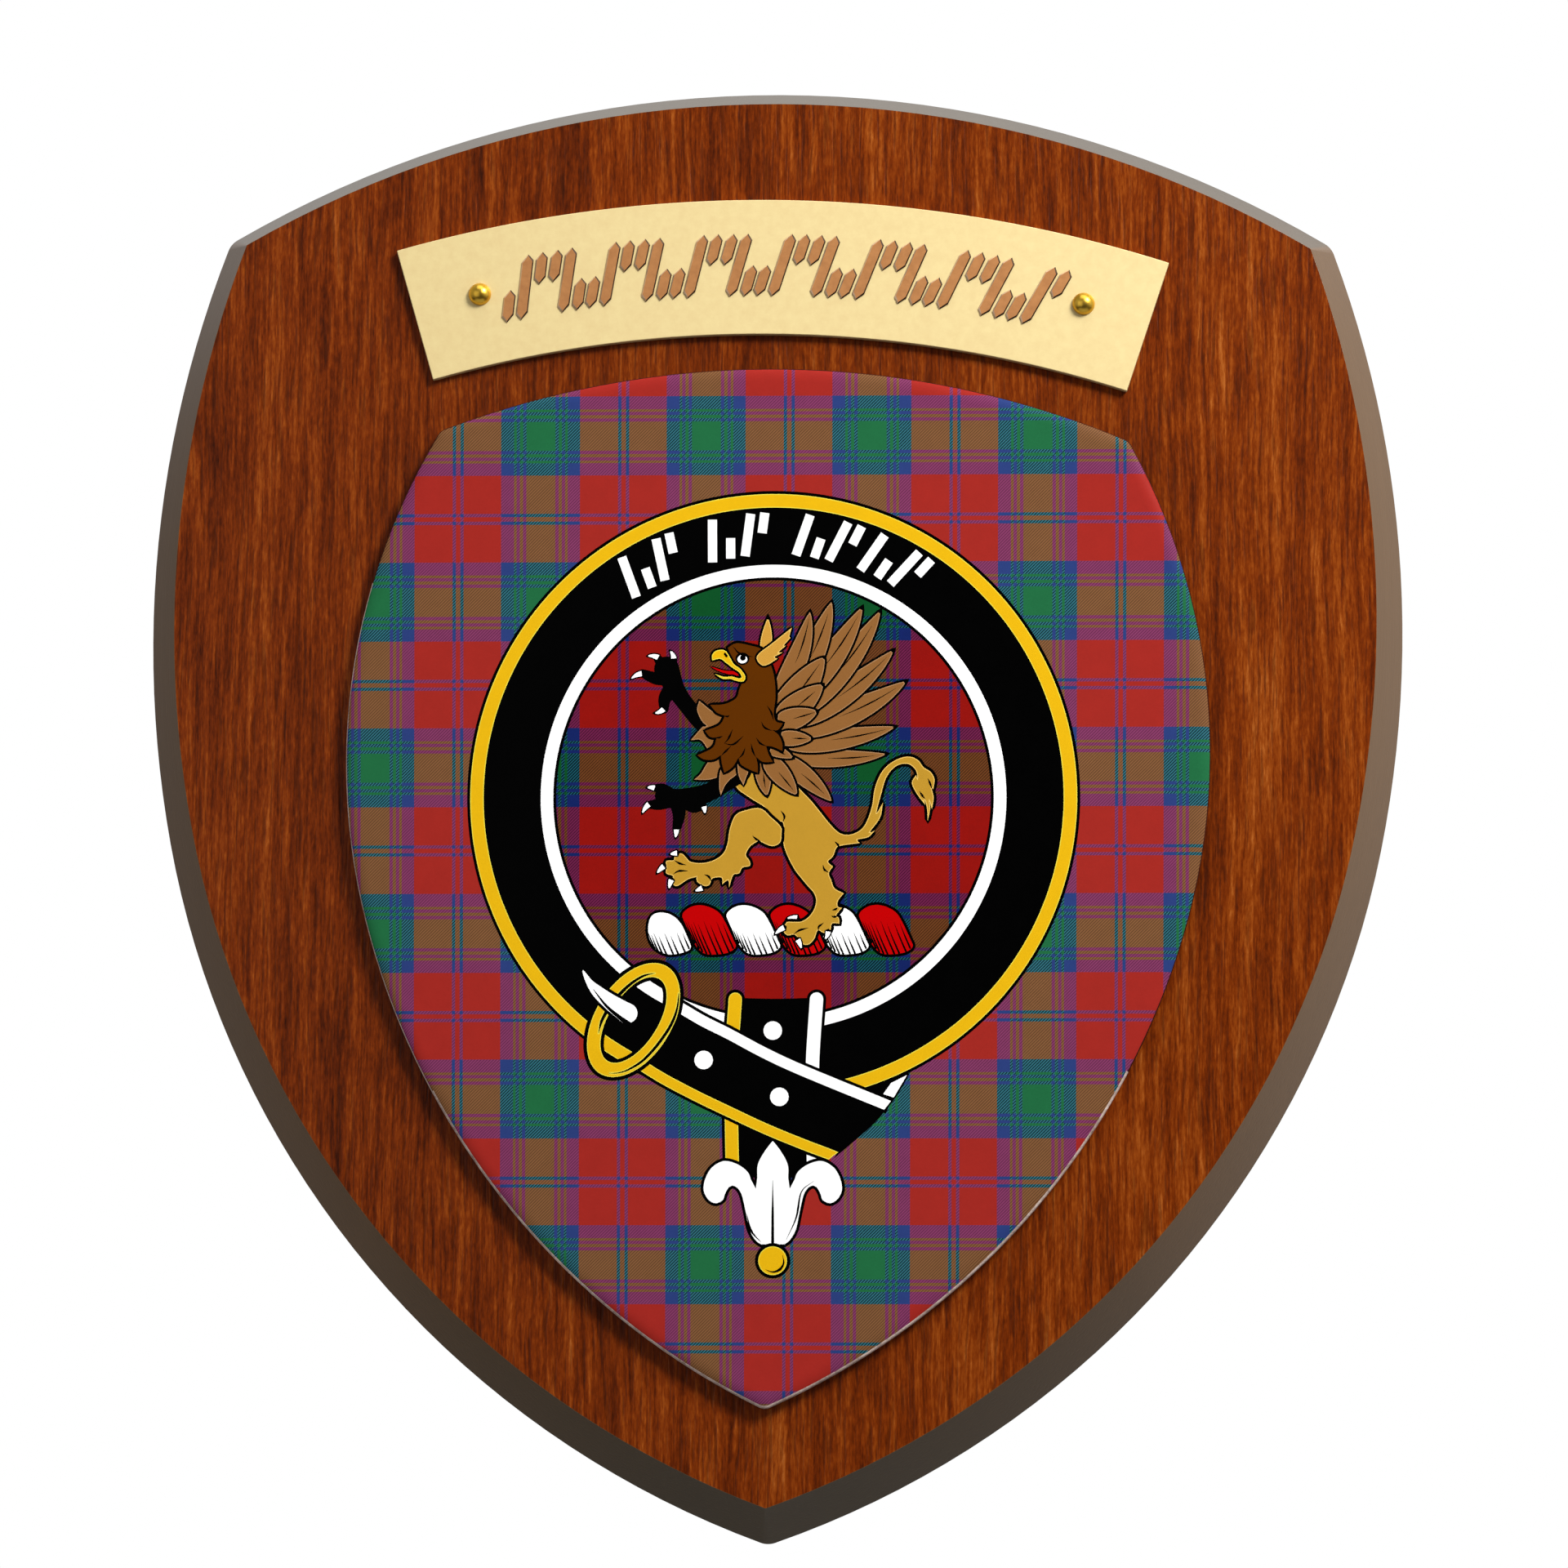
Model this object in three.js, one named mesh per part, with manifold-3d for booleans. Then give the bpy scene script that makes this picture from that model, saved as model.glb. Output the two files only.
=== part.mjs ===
import * as THREE from "three";
import { mergeVertices } from "three/addons/utils/BufferGeometryUtils.js";
import Module from "manifold-3d";

// Hanging shield plaque: a bevelled wooden board with a printed panel and a pinned brass name plate.
// Millimetres, +Z up, the front faces -Y. The origin is the screw seat of the keyhole, on the back plane.

const wasm = await Module();
wasm.setup();

const degree = Math.PI / 180;

// Board
const boardHalfWidth = 76.2;
const boardCrownRise = 66.6; // from the widest line up to the crown
const boardCrownRadius = 129.9;
const boardFlankRadius = 137;
const boardKeelRadius = 112.6;
const boardFlankSweep = 11.4 * degree; // how far the flank arc runs below the widest line
const boardThickness = 12;
const bevelWidth = 3.85;
const backLand = 1.2; // square edge behind the bevel
const boardEdgeCorner = 2.6;
const boardFaceCorner = 0.4;
const hangDrop = 30; // from the crown down to the screw seat

// Keyhole routed in the back
const keyholeEntryDiameter = 9.5;
const keyholeNeckWidth = 4.8;
const keyholeTravel = 11; // from the entry up to the screw seat
const keyholeDepth = 7.5;
const keyholeLip = 2.7; // wood left behind the screw head

// Printed panel
const panelSideMargin = 24.45; // between the widest lines of board and panel
const panelCrownDrop = 37; // from the board's crown to the panel's
const panelCrownRise = 46.8;
const panelCrownRadius = 108.7;
const panelFlankRadius = 77.7;
const panelKeelRadius = 89.4;
const panelFlankSweep = 14.3 * degree;
const panelThickness = 2;
const panelShift = 0.64; // set a little right of the middle
const panelTurn = 0.63 * degree; // and a little clockwise
const panelCorner = 1.6;
const panelRimWidth = 1.6;
const panelRimDrop = 0.5;
const panelRimSteps = 4;

// Name plate
const plateCrownDrop = 16; // from the board's crown to the plate's
const plateRadius = 159.1; // of its upper edge
const plateHeight = 16.6;
const plateHalfAngle = 17.1 * degree;
const plateThickness = 1;
const plateShift = -1.3; // of the arc's centre
const plateTurn = 0.72 * degree;

// Pins
const pinAngle = 13.97 * degree; // each side of the plate's middle
const pinBelowEdge = 7.8; // from the plate's upper edge
const pinHeadDiameter = 2.75;
const pinHeadHeight = 1.15;
const pinShankDiameter = 1.3;
const pinShankLength = 7;
const pinPoint = 1.2;
const pinHoleClearance = 0.4; // on the diameter
const pinHoleEnd = 0.5; // left under the point

// Raised strokes on the name plate
const strokePlaces = 13;
const strokePitch = 1.98 * degree;
const strokeHeight = 0.25;
const strokeWidth = 1.35;
const strokeLength = 7.4;
const shortStrokeShare = 0.44; // of the long stroke's length
const strokePoint = 0.8; // length of a stroke's pointed end
const strokeLean = 0.3; // sideways run of a stroke for each millimetre of its length
const strokeGap = 1.75; // between neighbouring strokes of one place
const strokesBelowEdge = 8.1;

const cutterOverrun = 1; // how far a cutter starts outside the wood

// Facets of the round stretches
const tipSteps = 4;
const keelSteps = 36;
const flankSteps = 24;
const shoulderSteps = 6;
const crownSteps = 20; // on each half of the crown
const plateArcSteps = 40;
const slotEndSteps = 10;
const keyholeSides = 40;
const pinHoleSides = 16;
const pinSides = 24;
const domeSteps = 7;

const boardTop = hangDrop;
const boardFront = -boardThickness;
const plateFront = boardFront - plateThickness;
const plateCentre = new THREE.Vector2(plateShift, boardTop - plateCrownDrop - plateRadius);
const pinRadius = plateRadius - pinBelowEdge;

const boardShield = {
  halfWidth: boardHalfWidth,
  crownRise: boardCrownRise,
  crownRadius: boardCrownRadius,
  flankRadius: boardFlankRadius,
  keelRadius: boardKeelRadius,
  flankSweep: boardFlankSweep,
};
const panelShield = {
  halfWidth: boardHalfWidth - panelSideMargin,
  crownRise: panelCrownRise,
  crownRadius: panelCrownRadius,
  flankRadius: panelFlankRadius,
  keelRadius: panelKeelRadius,
  flankSweep: panelFlankSweep,
};

// Points of an arc in the (x, z) plane, without the last one.
function arcPoints(centre, radius, from, to, steps) {
  const arc = new THREE.EllipseCurve(centre.x, centre.y, radius, radius, from, to, to < from);
  return arc.getPoints(steps).slice(0, -1);
}

// Where two circles meet, on the side of larger x.
function circlesMeet(a, radiusA, b, radiusB) {
  const apart = b.clone().sub(a);
  const distance = apart.length();
  const along = (radiusA ** 2 - radiusB ** 2 + distance ** 2) / (2 * distance);
  const across = Math.sqrt(radiusA ** 2 - along ** 2);
  const foot = a.clone().addScaledVector(apart, along / distance);
  const side = new THREE.Vector2(-apart.y, apart.x).multiplyScalar(across / distance);
  return side.x > 0 ? foot.add(side) : foot.sub(side);
}

// Heater shield about its widest line, seen from the front and taken anticlockwise from the keel's tip.
// Every arc moves inwards by inset, and the corners are rounded by their own radius.
function shieldOutline(shield, inset, corner) {
  const crown = new THREE.Vector2(0, shield.crownRise - shield.crownRadius);
  const flank = new THREE.Vector2(shield.halfWidth - shield.flankRadius, 0);
  const sweep = new THREE.Vector2(Math.cos(shield.flankSweep), -Math.sin(shield.flankSweep));
  const keel = flank.clone().addScaledVector(sweep, shield.flankRadius - shield.keelRadius);
  const crownR = shield.crownRadius - inset;
  const flankR = shield.flankRadius - inset;
  const keelR = shield.keelRadius - inset;

  const shoulder = circlesMeet(crown, crownR - corner, flank, flankR - corner);
  const tip = new THREE.Vector2(0, keel.y - Math.sqrt((keelR - corner) ** 2 - keel.x ** 2));
  const keelEnd = tip.clone().sub(keel).angle() - 2 * Math.PI;
  const flankEnd = shoulder.clone().sub(flank).angle();
  const crownEnd = shoulder.clone().sub(crown).angle();

  const right = [
    ...arcPoints(tip, corner, -Math.PI / 2, keelEnd, tipSteps),
    ...arcPoints(keel, keelR, keelEnd, -shield.flankSweep, keelSteps),
    ...arcPoints(flank, flankR, -shield.flankSweep, flankEnd, flankSteps),
    ...arcPoints(shoulder, corner, flankEnd, crownEnd, shoulderSteps),
    ...arcPoints(crown, crownR, crownEnd, Math.PI / 2, crownSteps),
    new THREE.Vector2(0, crown.y + crownR),
  ];
  const left = right.slice(1, -1).reverse();
  return [...right, ...left.map((p) => new THREE.Vector2(-p.x, p.y))];
}

// Closed body through rings of (x, z) points, from the back ring to the front one.
function loft(rings) {
  const count = rings[0].points.length;
  const positions = rings.flatMap(({ points, y }) => points.flatMap((p) => [p.x, y, p.y]));
  const faces = [];
  for (let ring = 0; ring < rings.length - 1; ring++) {
    for (let i = 0; i < count; i++) {
      const next = (i + 1) % count;
      const [a, b] = [ring * count + i, ring * count + next];
      faces.push(a, b, b + count, a, b + count, a + count);
    }
  }
  const frontStart = (rings.length - 1) * count;
  for (const [a, b, c] of THREE.ShapeUtils.triangulateShape(rings[0].points, [])) {
    faces.push(a, c, b);
  }
  for (const [a, b, c] of THREE.ShapeUtils.triangulateShape(rings.at(-1).points, [])) {
    faces.push(frontStart + a, frontStart + b, frontStart + c);
  }
  const geometry = new THREE.BufferGeometry();
  geometry.setAttribute("position", new THREE.Float32BufferAttribute(positions, 3));
  geometry.setIndex(faces);
  return geometry;
}

// Straight body of one outline between two depths.
function slab(points, back, front) {
  return loft([
    { points, y: back },
    { points, y: front },
  ]);
}

// Round-ended slot outline on the middle line.
function slotOutline(width, bottom, top) {
  const radius = width / 2;
  return [
    ...arcPoints(new THREE.Vector2(0, bottom), radius, -Math.PI, 0, slotEndSteps),
    new THREE.Vector2(radius, bottom),
    ...arcPoints(new THREE.Vector2(0, top), radius, 0, Math.PI, slotEndSteps),
    new THREE.Vector2(-radius, top),
  ];
}

function toSolid(geometry) {
  const bare = geometry.clone();
  bare.deleteAttribute("normal");
  bare.deleteAttribute("uv");
  const merged = mergeVertices(bare, 1e-4);
  return new wasm.Manifold(
    new wasm.Mesh({
      numProp: 3,
      vertProperties: merged.attributes.position.array,
      triVerts: new Uint32Array(merged.index.array),
    }),
  );
}

function toGeometry(solid) {
  const mesh = solid.getMesh();
  const geometry = new THREE.BufferGeometry();
  geometry.setAttribute("position", new THREE.BufferAttribute(mesh.vertProperties, mesh.numProp));
  geometry.setIndex(new THREE.BufferAttribute(mesh.triVerts, 1));
  return geometry;
}

// Point at an angle from the plate's middle and a radius of its arc.
function onPlate(angle, radius) {
  const turned = angle + plateTurn;
  return new THREE.Vector2(Math.sin(turned), Math.cos(turned)).multiplyScalar(radius).add(plateCentre);
}

// Round cutter at a place in the (x, z) plane, between two depths.
function drill(place, diameter, back, front, sides) {
  const cutter = new THREE.CylinderGeometry(diameter / 2, diameter / 2, back - front, sides);
  return toSolid(cutter.translate(place.x, (back + front) / 2, place.y));
}

// Hole for one pin, between two depths.
function pinHole(side, back, front) {
  const place = onPlate(side * pinAngle, pinRadius);
  return drill(place, pinShankDiameter + pinHoleClearance, back, front, pinHoleSides);
}

// Cutter for the keyhole: a round entry, a narrow neck above it and the undercut for the screw head.
function keyhole() {
  const entry = new THREE.Vector2(0, -keyholeTravel);
  const neck = slotOutline(keyholeNeckWidth, -keyholeTravel, 0);
  const undercut = slotOutline(keyholeEntryDiameter, -keyholeTravel, 0);
  return drill(entry, keyholeEntryDiameter, cutterOverrun, -keyholeDepth, keyholeSides)
    .add(toSolid(slab(neck, cutterOverrun, -keyholeDepth)))
    .add(toSolid(slab(undercut, -keyholeLip, -keyholeDepth)));
}

function shieldBoard() {
  const edge = shieldOutline(boardShield, 0, boardEdgeCorner);
  const face = shieldOutline(boardShield, bevelWidth, boardFaceCorner);
  const body = loft([
    { points: edge, y: 0 },
    { points: edge, y: -backLand },
    { points: face, y: boardFront },
  ]).translate(0, 0, boardTop - boardCrownRise);
  const holeEnd = plateFront + pinShankLength + pinHoleEnd;
  const holeStart = boardFront - cutterOverrun;
  return toGeometry(
    toSolid(body)
      .subtract(keyhole())
      .subtract(pinHole(-1, holeEnd, holeStart))
      .subtract(pinHole(1, holeEnd, holeStart)),
  );
}

// Flat panel whose front rolls over at the rim.
function tartanPanel() {
  const foot = shieldOutline(panelShield, 0, panelCorner);
  const rings = [{ points: foot, y: boardFront }];
  for (let step = 0; step <= panelRimSteps; step++) {
    const roll = ((step / panelRimSteps) * Math.PI) / 2;
    rings.push({
      points: shieldOutline(panelShield, panelRimWidth * (1 - Math.cos(roll)), panelCorner),
      y: boardFront - panelThickness + panelRimDrop * (1 - Math.sin(roll)),
    });
  }
  return loft(rings);
}

// Arched plate between two arcs, with raised strokes along its middle.
function namePlate() {
  const [start, end] = [Math.PI / 2 - plateHalfAngle - plateTurn, Math.PI / 2 + plateHalfAngle - plateTurn];
  const lower = plateRadius - plateHeight;
  const outline = [
    ...arcPoints(plateCentre, plateRadius, start, end, plateArcSteps),
    onPlate(-plateHalfAngle, plateRadius),
    ...arcPoints(plateCentre, lower, end, start, plateArcSteps),
    onPlate(plateHalfAngle, lower),
  ];
  let plate = toSolid(slab(outline, boardFront, plateFront))
    .subtract(pinHole(-1, boardFront + cutterOverrun, plateFront - cutterOverrun))
    .subtract(pinHole(1, boardFront + cutterOverrun, plateFront - cutterOverrun));
  for (let place = 0; place < strokePlaces; place++) {
    for (const stroke of placeStrokes(place)) plate = plate.add(toSolid(stroke));
  }
  return toGeometry(plate);
}

// The strokes of one place: a long one between two short ones, high and low in turn.
function placeStrokes(place) {
  const angle = (place - (strokePlaces - 1) / 2) * strokePitch;
  const high = place % 2 ? 1 : -1;
  const short = strokeLength * shortStrokeShare;
  const shift = (strokeLength - short) / 2;
  return [
    stroke(angle, -strokeGap, high * shift, short),
    stroke(angle, 0, 0, strokeLength),
    stroke(angle, strokeGap, -high * shift, short),
  ];
}

// One pointed stroke, leaning, offset from its place along and across the plate.
function stroke(angle, along, up, length) {
  const radius = plateRadius - strokesBelowEdge;
  const turned = angle + plateTurn;
  const half = length / 2;
  const shoulder = half - strokePoint;
  const corners = [
    [0, -half],
    [strokeWidth / 2, -shoulder],
    [strokeWidth / 2, shoulder],
    [0, half],
    [-strokeWidth / 2, shoulder],
    [-strokeWidth / 2, -shoulder],
  ];
  const points = corners.map(([x, z]) => {
    const point = new THREE.Vector2(x + along + (z + up) * strokeLean, z + up + radius);
    return point.rotateAround(new THREE.Vector2(), -turned).add(plateCentre);
  });
  return slab(points, plateFront + plateThickness / 2, plateFront - strokeHeight);
}

// Domed pin about its own axis, its head resting at y = 0 and its point towards +Y.
function pinSolid() {
  const head = pinHeadDiameter / 2;
  const shank = pinShankDiameter / 2;
  const dome = [];
  for (let step = 0; step <= domeSteps; step++) {
    const rise = (step / domeSteps) * (Math.PI / 2);
    dome.push(new THREE.Vector2(head * Math.sin(rise), -pinHeadHeight * Math.cos(rise)));
  }
  const profile = [
    ...dome,
    new THREE.Vector2(shank, 0),
    new THREE.Vector2(shank, pinShankLength - pinPoint),
    new THREE.Vector2(0, pinShankLength),
  ];
  return new THREE.LatheGeometry(profile, pinSides);
}

function mesh(name, geometry, color, roughness, metalness) {
  const made = new THREE.Mesh(geometry, new THREE.MeshStandardMaterial({ color, roughness, metalness }));
  made.name = name;
  return made;
}

const group = new THREE.Group();
group.add(mesh("shield_board", shieldBoard(), 0x7d330f, 0.35, 0));

const panel = mesh("tartan_panel", tartanPanel(), 0xa02824, 0.45, 0);
panel.position.set(panelShift, 0, boardTop - panelCrownDrop - panelCrownRise);
panel.rotation.y = panelTurn;
group.add(panel);

group.add(mesh("name_plate", namePlate(), 0xe3cf8c, 0.3, 1));

for (const [name, side] of [
  ["pin_left", -1],
  ["pin_right", 1],
]) {
  const pin = mesh(name, pinSolid(), 0xd9b04c, 0.22, 1);
  const place = onPlate(side * pinAngle, pinRadius);
  pin.position.set(place.x, plateFront, place.y);
  group.add(pin);
}

export default group;
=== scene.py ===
import math

import bmesh
import bpy
import numpy as np
from mathutils import Matrix, Vector
from mathutils.geometry import delaunay_2d_cdt


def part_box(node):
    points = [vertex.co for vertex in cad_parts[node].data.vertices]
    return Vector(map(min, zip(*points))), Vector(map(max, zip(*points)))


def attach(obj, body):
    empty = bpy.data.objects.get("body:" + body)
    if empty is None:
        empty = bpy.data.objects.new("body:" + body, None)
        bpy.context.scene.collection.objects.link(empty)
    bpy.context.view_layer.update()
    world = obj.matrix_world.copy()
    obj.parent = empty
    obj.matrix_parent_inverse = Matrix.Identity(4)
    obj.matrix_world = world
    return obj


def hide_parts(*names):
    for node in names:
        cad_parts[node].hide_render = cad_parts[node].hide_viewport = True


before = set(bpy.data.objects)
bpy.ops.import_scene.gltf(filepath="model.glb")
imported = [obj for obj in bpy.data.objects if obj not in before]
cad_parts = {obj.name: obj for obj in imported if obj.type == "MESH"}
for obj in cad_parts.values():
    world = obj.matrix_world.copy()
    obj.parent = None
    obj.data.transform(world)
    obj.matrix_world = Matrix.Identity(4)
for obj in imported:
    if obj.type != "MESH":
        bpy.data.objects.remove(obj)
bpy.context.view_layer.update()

MM = 0.001  # drawings are in millimetres, everything else in metres

# Depths of the faces, from the frame
BOARD_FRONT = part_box("shield_board")[0].y
PANEL_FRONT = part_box("tartan_panel")[0].y
PLATE_THICKNESS = 0.001
PLATE_FRONT = BOARD_FRONT - PLATE_THICKNESS

# Board
ARRIS_ROUNDING = 0.00028
PAINTED_LIGHT_DRIFT = 0.75  # painted light: the stain's tone grows lighter to the right, as if lit from there, in shares of its tone a metre

# Panel and its print
RIM_DROP = 0.0005
RIM_STEPS = 8
EDGE_LEVELS = 3  # bands of the rim, counted from its foot, that the tartan leaves free
LOW_EDGE_LEVELS = 4  # the same on the lower sides
BARE_HEIGHT = 0.03  # the core is bare on the left below this over the middle, on the right below its negative
PRINT_MIDDLE = (0.000317, -0.059325)  # in x and z
PRINT_TURN = math.radians(0.44)  # the print stands straight on the tilted panel
PRINT_STRETCH = (0.9989, 0.9886)  # drawn size to printed size, across and up
PRINT_TAPER = 0.178  # share by which the print widens upwards, a metre
THREAD = 0.00009773  # width of one thread of the tartan
TWILL_PITCH = 0.000372
TWILL_DEPTHS = (0.9, 0.37)  # how strongly the twill lines show, without red threads and with them

# Name plate: an arch between two arcs
PLATE_CENTRE = (-0.0013, -0.1451)
PLATE_RADIUS = 0.1591
PLATE_HEIGHT = 0.0166
PLATE_HALF_ANGLE = math.radians(17.1)
PLATE_TURN = math.radians(0.72)
PLATE_EDGE = 0.00012
PLATE_STEPS = 96

# Raised strokes on the plate
STROKE_PLACES = 13
STROKE_PITCH = math.radians(1.98)
STROKE_RADIUS = PLATE_RADIUS - 0.0081
STROKE_HEIGHT = 0.00025
STROKE_LENGTH = 0.0078
SHORT_STROKE = 0.5  # share of the long stroke
STROKE_WIDTH = 0.00145
STROKE_POINT = 0.0008
STROKE_LEAN = 0.3
STROKE_GAP = 0.00175
STROKE_EDGE = 0.00014
STROKE_POINT_INSET = 1.4  # the points draw in by this much more than the sides
STROKE_SINK = 0.0001  # how far a stroke goes into the plate

# Pins
PIN_ANGLE = math.radians(13.97)
PIN_RADIUS = PLATE_RADIUS - 0.0078
PIN_HEAD = 0.00275
PIN_HEAD_HEIGHT = 0.00115
PIN_SHANK = 0.0013
PIN_LENGTH = 0.007
PIN_POINT = 0.0012
PIN_HOLE = 0.0017
PIN_STEPS = 40
DOME_STEPS = 12
HOLE_STEPS = 24


def srgb(red, green, blue):
    """Linear colour of a colour seen on a screen, 0 to 255 a channel."""
    channels = []
    for value in (red, green, blue):
        share = value / 255
        channels.append(share / 12.92 if share <= 0.04045 else ((share + 0.055) / 1.055) ** 2.4)
    return (*channels, 1.0)


class Wiring:
    """Adds and joins the nodes of one tree."""

    def __init__(self, tree):
        self.tree = tree

    def add(self, kind, **settings):
        node = self.tree.nodes.new(kind)
        for name, value in settings.items():
            setattr(node, name, value)
        return node

    def put(self, socket, value):
        if isinstance(value, bpy.types.NodeSocket):
            self.tree.links.new(value, socket)
        else:
            socket.default_value = value

    def math(self, operation, *values, clamp=False):
        node = self.add("ShaderNodeMath", operation=operation, use_clamp=clamp)
        for socket, value in zip(node.inputs, values):
            self.put(socket, value)
        return node.outputs[0]

    def split(self, vector):
        node = self.add("ShaderNodeSeparateXYZ")
        self.put(node.inputs[0], vector)
        return node.outputs

    def join(self, x=0.0, y=0.0, z=0.0):
        node = self.add("ShaderNodeCombineXYZ")
        for socket, value in zip(node.inputs, (x, y, z)):
            self.put(socket, value)
        return node.outputs[0]

    def place(self, vector, scale=(1, 1, 1), rotation=(0, 0, 0), location=(0, 0, 0)):
        node = self.add("ShaderNodeMapping")
        self.put(node.inputs["Vector"], vector)
        node.inputs["Location"].default_value = location
        node.inputs["Rotation"].default_value = rotation
        node.inputs["Scale"].default_value = scale
        return node.outputs[0]

    def noise(self, vector, scale, detail=2.0, roughness=0.5):
        """Noise with a scale of its own along each axis, in spots a metre."""
        node = self.add("ShaderNodeTexNoise")
        self.put(node.inputs["Vector"], self.place(vector, scale))
        node.inputs["Scale"].default_value = 1.0
        node.inputs["Detail"].default_value = detail
        node.inputs["Roughness"].default_value = roughness
        return node.outputs["Fac"]

    def ramp(self, value, stops, interpolation="LINEAR"):
        node = self.add("ShaderNodeValToRGB")
        self.put(node.inputs[0], value)
        node.color_ramp.interpolation = interpolation
        elements = node.color_ramp.elements
        while len(elements) < len(stops):
            elements.new(1.0)
        for element, (position, colour) in zip(elements, stops):
            element.position = position
            element.color = colour
        return node.outputs[0]

    def stretch(self, value, low, high, to_low=0.0, to_high=1.0):
        node = self.add("ShaderNodeMapRange", clamp=True)
        for socket, number in zip(node.inputs, (value, low, high, to_low, to_high)):
            self.put(socket, number)
        return node.outputs[0]

    def mix(self, share, first, second):
        node = self.add("ShaderNodeMix", data_type="RGBA")
        self.put(node.inputs[0], share)
        self.put(node.inputs[6], first)
        self.put(node.inputs[7], second)
        return node.outputs[2]

    def bump(self, height, distance):
        node = self.add("ShaderNodeBump")
        self.put(node.inputs["Height"], height)
        node.inputs["Distance"].default_value = distance
        node.inputs["Strength"].default_value = 1.0
        return node.outputs[0]

    def use(self, group, **inputs):
        node = self.add("ShaderNodeGroup", node_tree=group)
        for name, value in inputs.items():
            self.put(node.inputs[name], value)
        return node.outputs


def shader_group(name, inputs, outputs):
    """Empty node group with the named sockets, its wiring and its two end nodes."""
    tree = bpy.data.node_groups.new(name, "ShaderNodeTree")
    for side, sockets in (("INPUT", inputs), ("OUTPUT", outputs)):
        for label, kind in sockets.items():
            tree.interface.new_socket(name=label, in_out=side, socket_type="NodeSocket" + kind)
    wiring = Wiring(tree)
    return wiring, wiring.add("NodeGroupInput").outputs, wiring.add("NodeGroupOutput").inputs


def material(name):
    """New material, its wiring, its shader and the object coordinates."""
    made = bpy.data.materials.new(name)
    made.use_nodes = True
    wiring = Wiring(made.node_tree)
    shader = made.node_tree.nodes["Principled BSDF"]
    return made, wiring, shader, wiring.add("ShaderNodeTexCoord").outputs["Object"]


def dress(w, shader, colour, tone, roughness, height, depth, gloss=0.5):
    """Colour of a shader, its roughness from a tone's low end to its high one, and its relief in metres."""
    w.put(shader.inputs["Base Color"], colour)
    w.put(shader.inputs["Roughness"], w.stretch(tone, 0.0, 1.0, *roughness))
    w.put(shader.inputs["Normal"], w.bump(height, depth))
    shader.inputs["Specular IOR Level"].default_value = gloss


# Shader groups

NOISE_RANGE = (0.3, 0.7)  # where nearly all values of a noise lie
WOOD_WANDER = (  # noise that bends the grain: its scale, its detail and its reach in metres
    ((60, 60, 14), 2.0, 0.0035),
    ((170, 170, 62), 1.0, 0.0007),
)
WOOD_LAYERS = {  # scale, detail and roughness of a layer's noise, and its share in the tone
    "bands": ((190, 190, 12), 2.0, 0.5, 0.4),
    "streaks": ((640, 640, 34), 3.0, 0.6, 0.55),
    "fibres": ((1800, 1800, 95), 3.0, 0.7, 1.1),
    "threads": ((4200, 4200, 900), 2.0, 0.6, 0.65),
}
PORE_SCALE = (2600, 2600, 150)
PORE_RANGE = (0.55, 0.68)  # noise values between which a pore opens
PORE_DEPTH = 0.8  # against the height of the fibres


def figured_wood():
    """Upright fibres, dark streaks and pores of a stained board."""
    w, given, out = shader_group(
        "figured_wood",
        {"Vector": "Vector", "Contrast": "Float"},
        {"Tone": "Float", "Pores": "Float", "Height": "Float"},
    )
    x, y, z = w.split(given["Vector"])
    for scale, detail, reach in WOOD_WANDER:
        wander = w.math("SUBTRACT", w.noise(given["Vector"], scale, detail), 0.5)
        x = w.math("MULTIPLY_ADD", wander, reach, x)
    grain = w.join(x, y, z)
    layers = {}
    tone = -0.5 * sum(share for *_, share in WOOD_LAYERS.values())
    for name, (scale, detail, roughness, share) in WOOD_LAYERS.items():
        layers[name] = w.noise(grain, scale, detail, roughness)
        tone = w.math("MULTIPLY_ADD", layers[name], share, tone)
    pores = w.stretch(w.noise(grain, PORE_SCALE, 1.0), *PORE_RANGE)
    w.put(out["Tone"], w.math("MULTIPLY_ADD", tone, given["Contrast"], 0.5, clamp=True))
    w.put(out["Pores"], pores)
    w.put(out["Height"], w.math("SUBTRACT", layers["fibres"], w.math("MULTIPLY", pores, PORE_DEPTH)))
    return w.tree


def pebbled_sheet():
    """Fine pebble of a printed sheet: a height, and a slight change of tone."""
    w, given, out = shader_group(
        "pebbled_sheet",
        {"Vector": "Vector"},
        {"Height": "Float", "Mottle": "Float"},
    )
    grit = w.noise(given["Vector"], (3600, 3600, 3600), 2.0, 0.6)
    cloud = w.noise(given["Vector"], (420, 420, 420))
    halves = w.math("MULTIPLY_ADD", cloud, 0.5, w.math("MULTIPLY", grit, 0.5))
    w.put(out["Height"], w.math("MULTIPLY_ADD", cloud, 0.5, grit))
    w.put(out["Mottle"], w.stretch(halves, *NOISE_RANGE))
    return w.tree


def metal_mottle():
    """Faint cloud and scratch of handled sheet metal."""
    w, given, out = shader_group(
        "metal_mottle",
        {"Vector": "Vector"},
        {"Cloud": "Float", "Scratch": "Float"},
    )
    w.put(out["Cloud"], w.noise(given["Vector"], (900, 900, 900), 3.0, 0.65))
    w.put(out["Scratch"], w.noise(given["Vector"], (600, 600, 9000)))
    return w.tree


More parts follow.
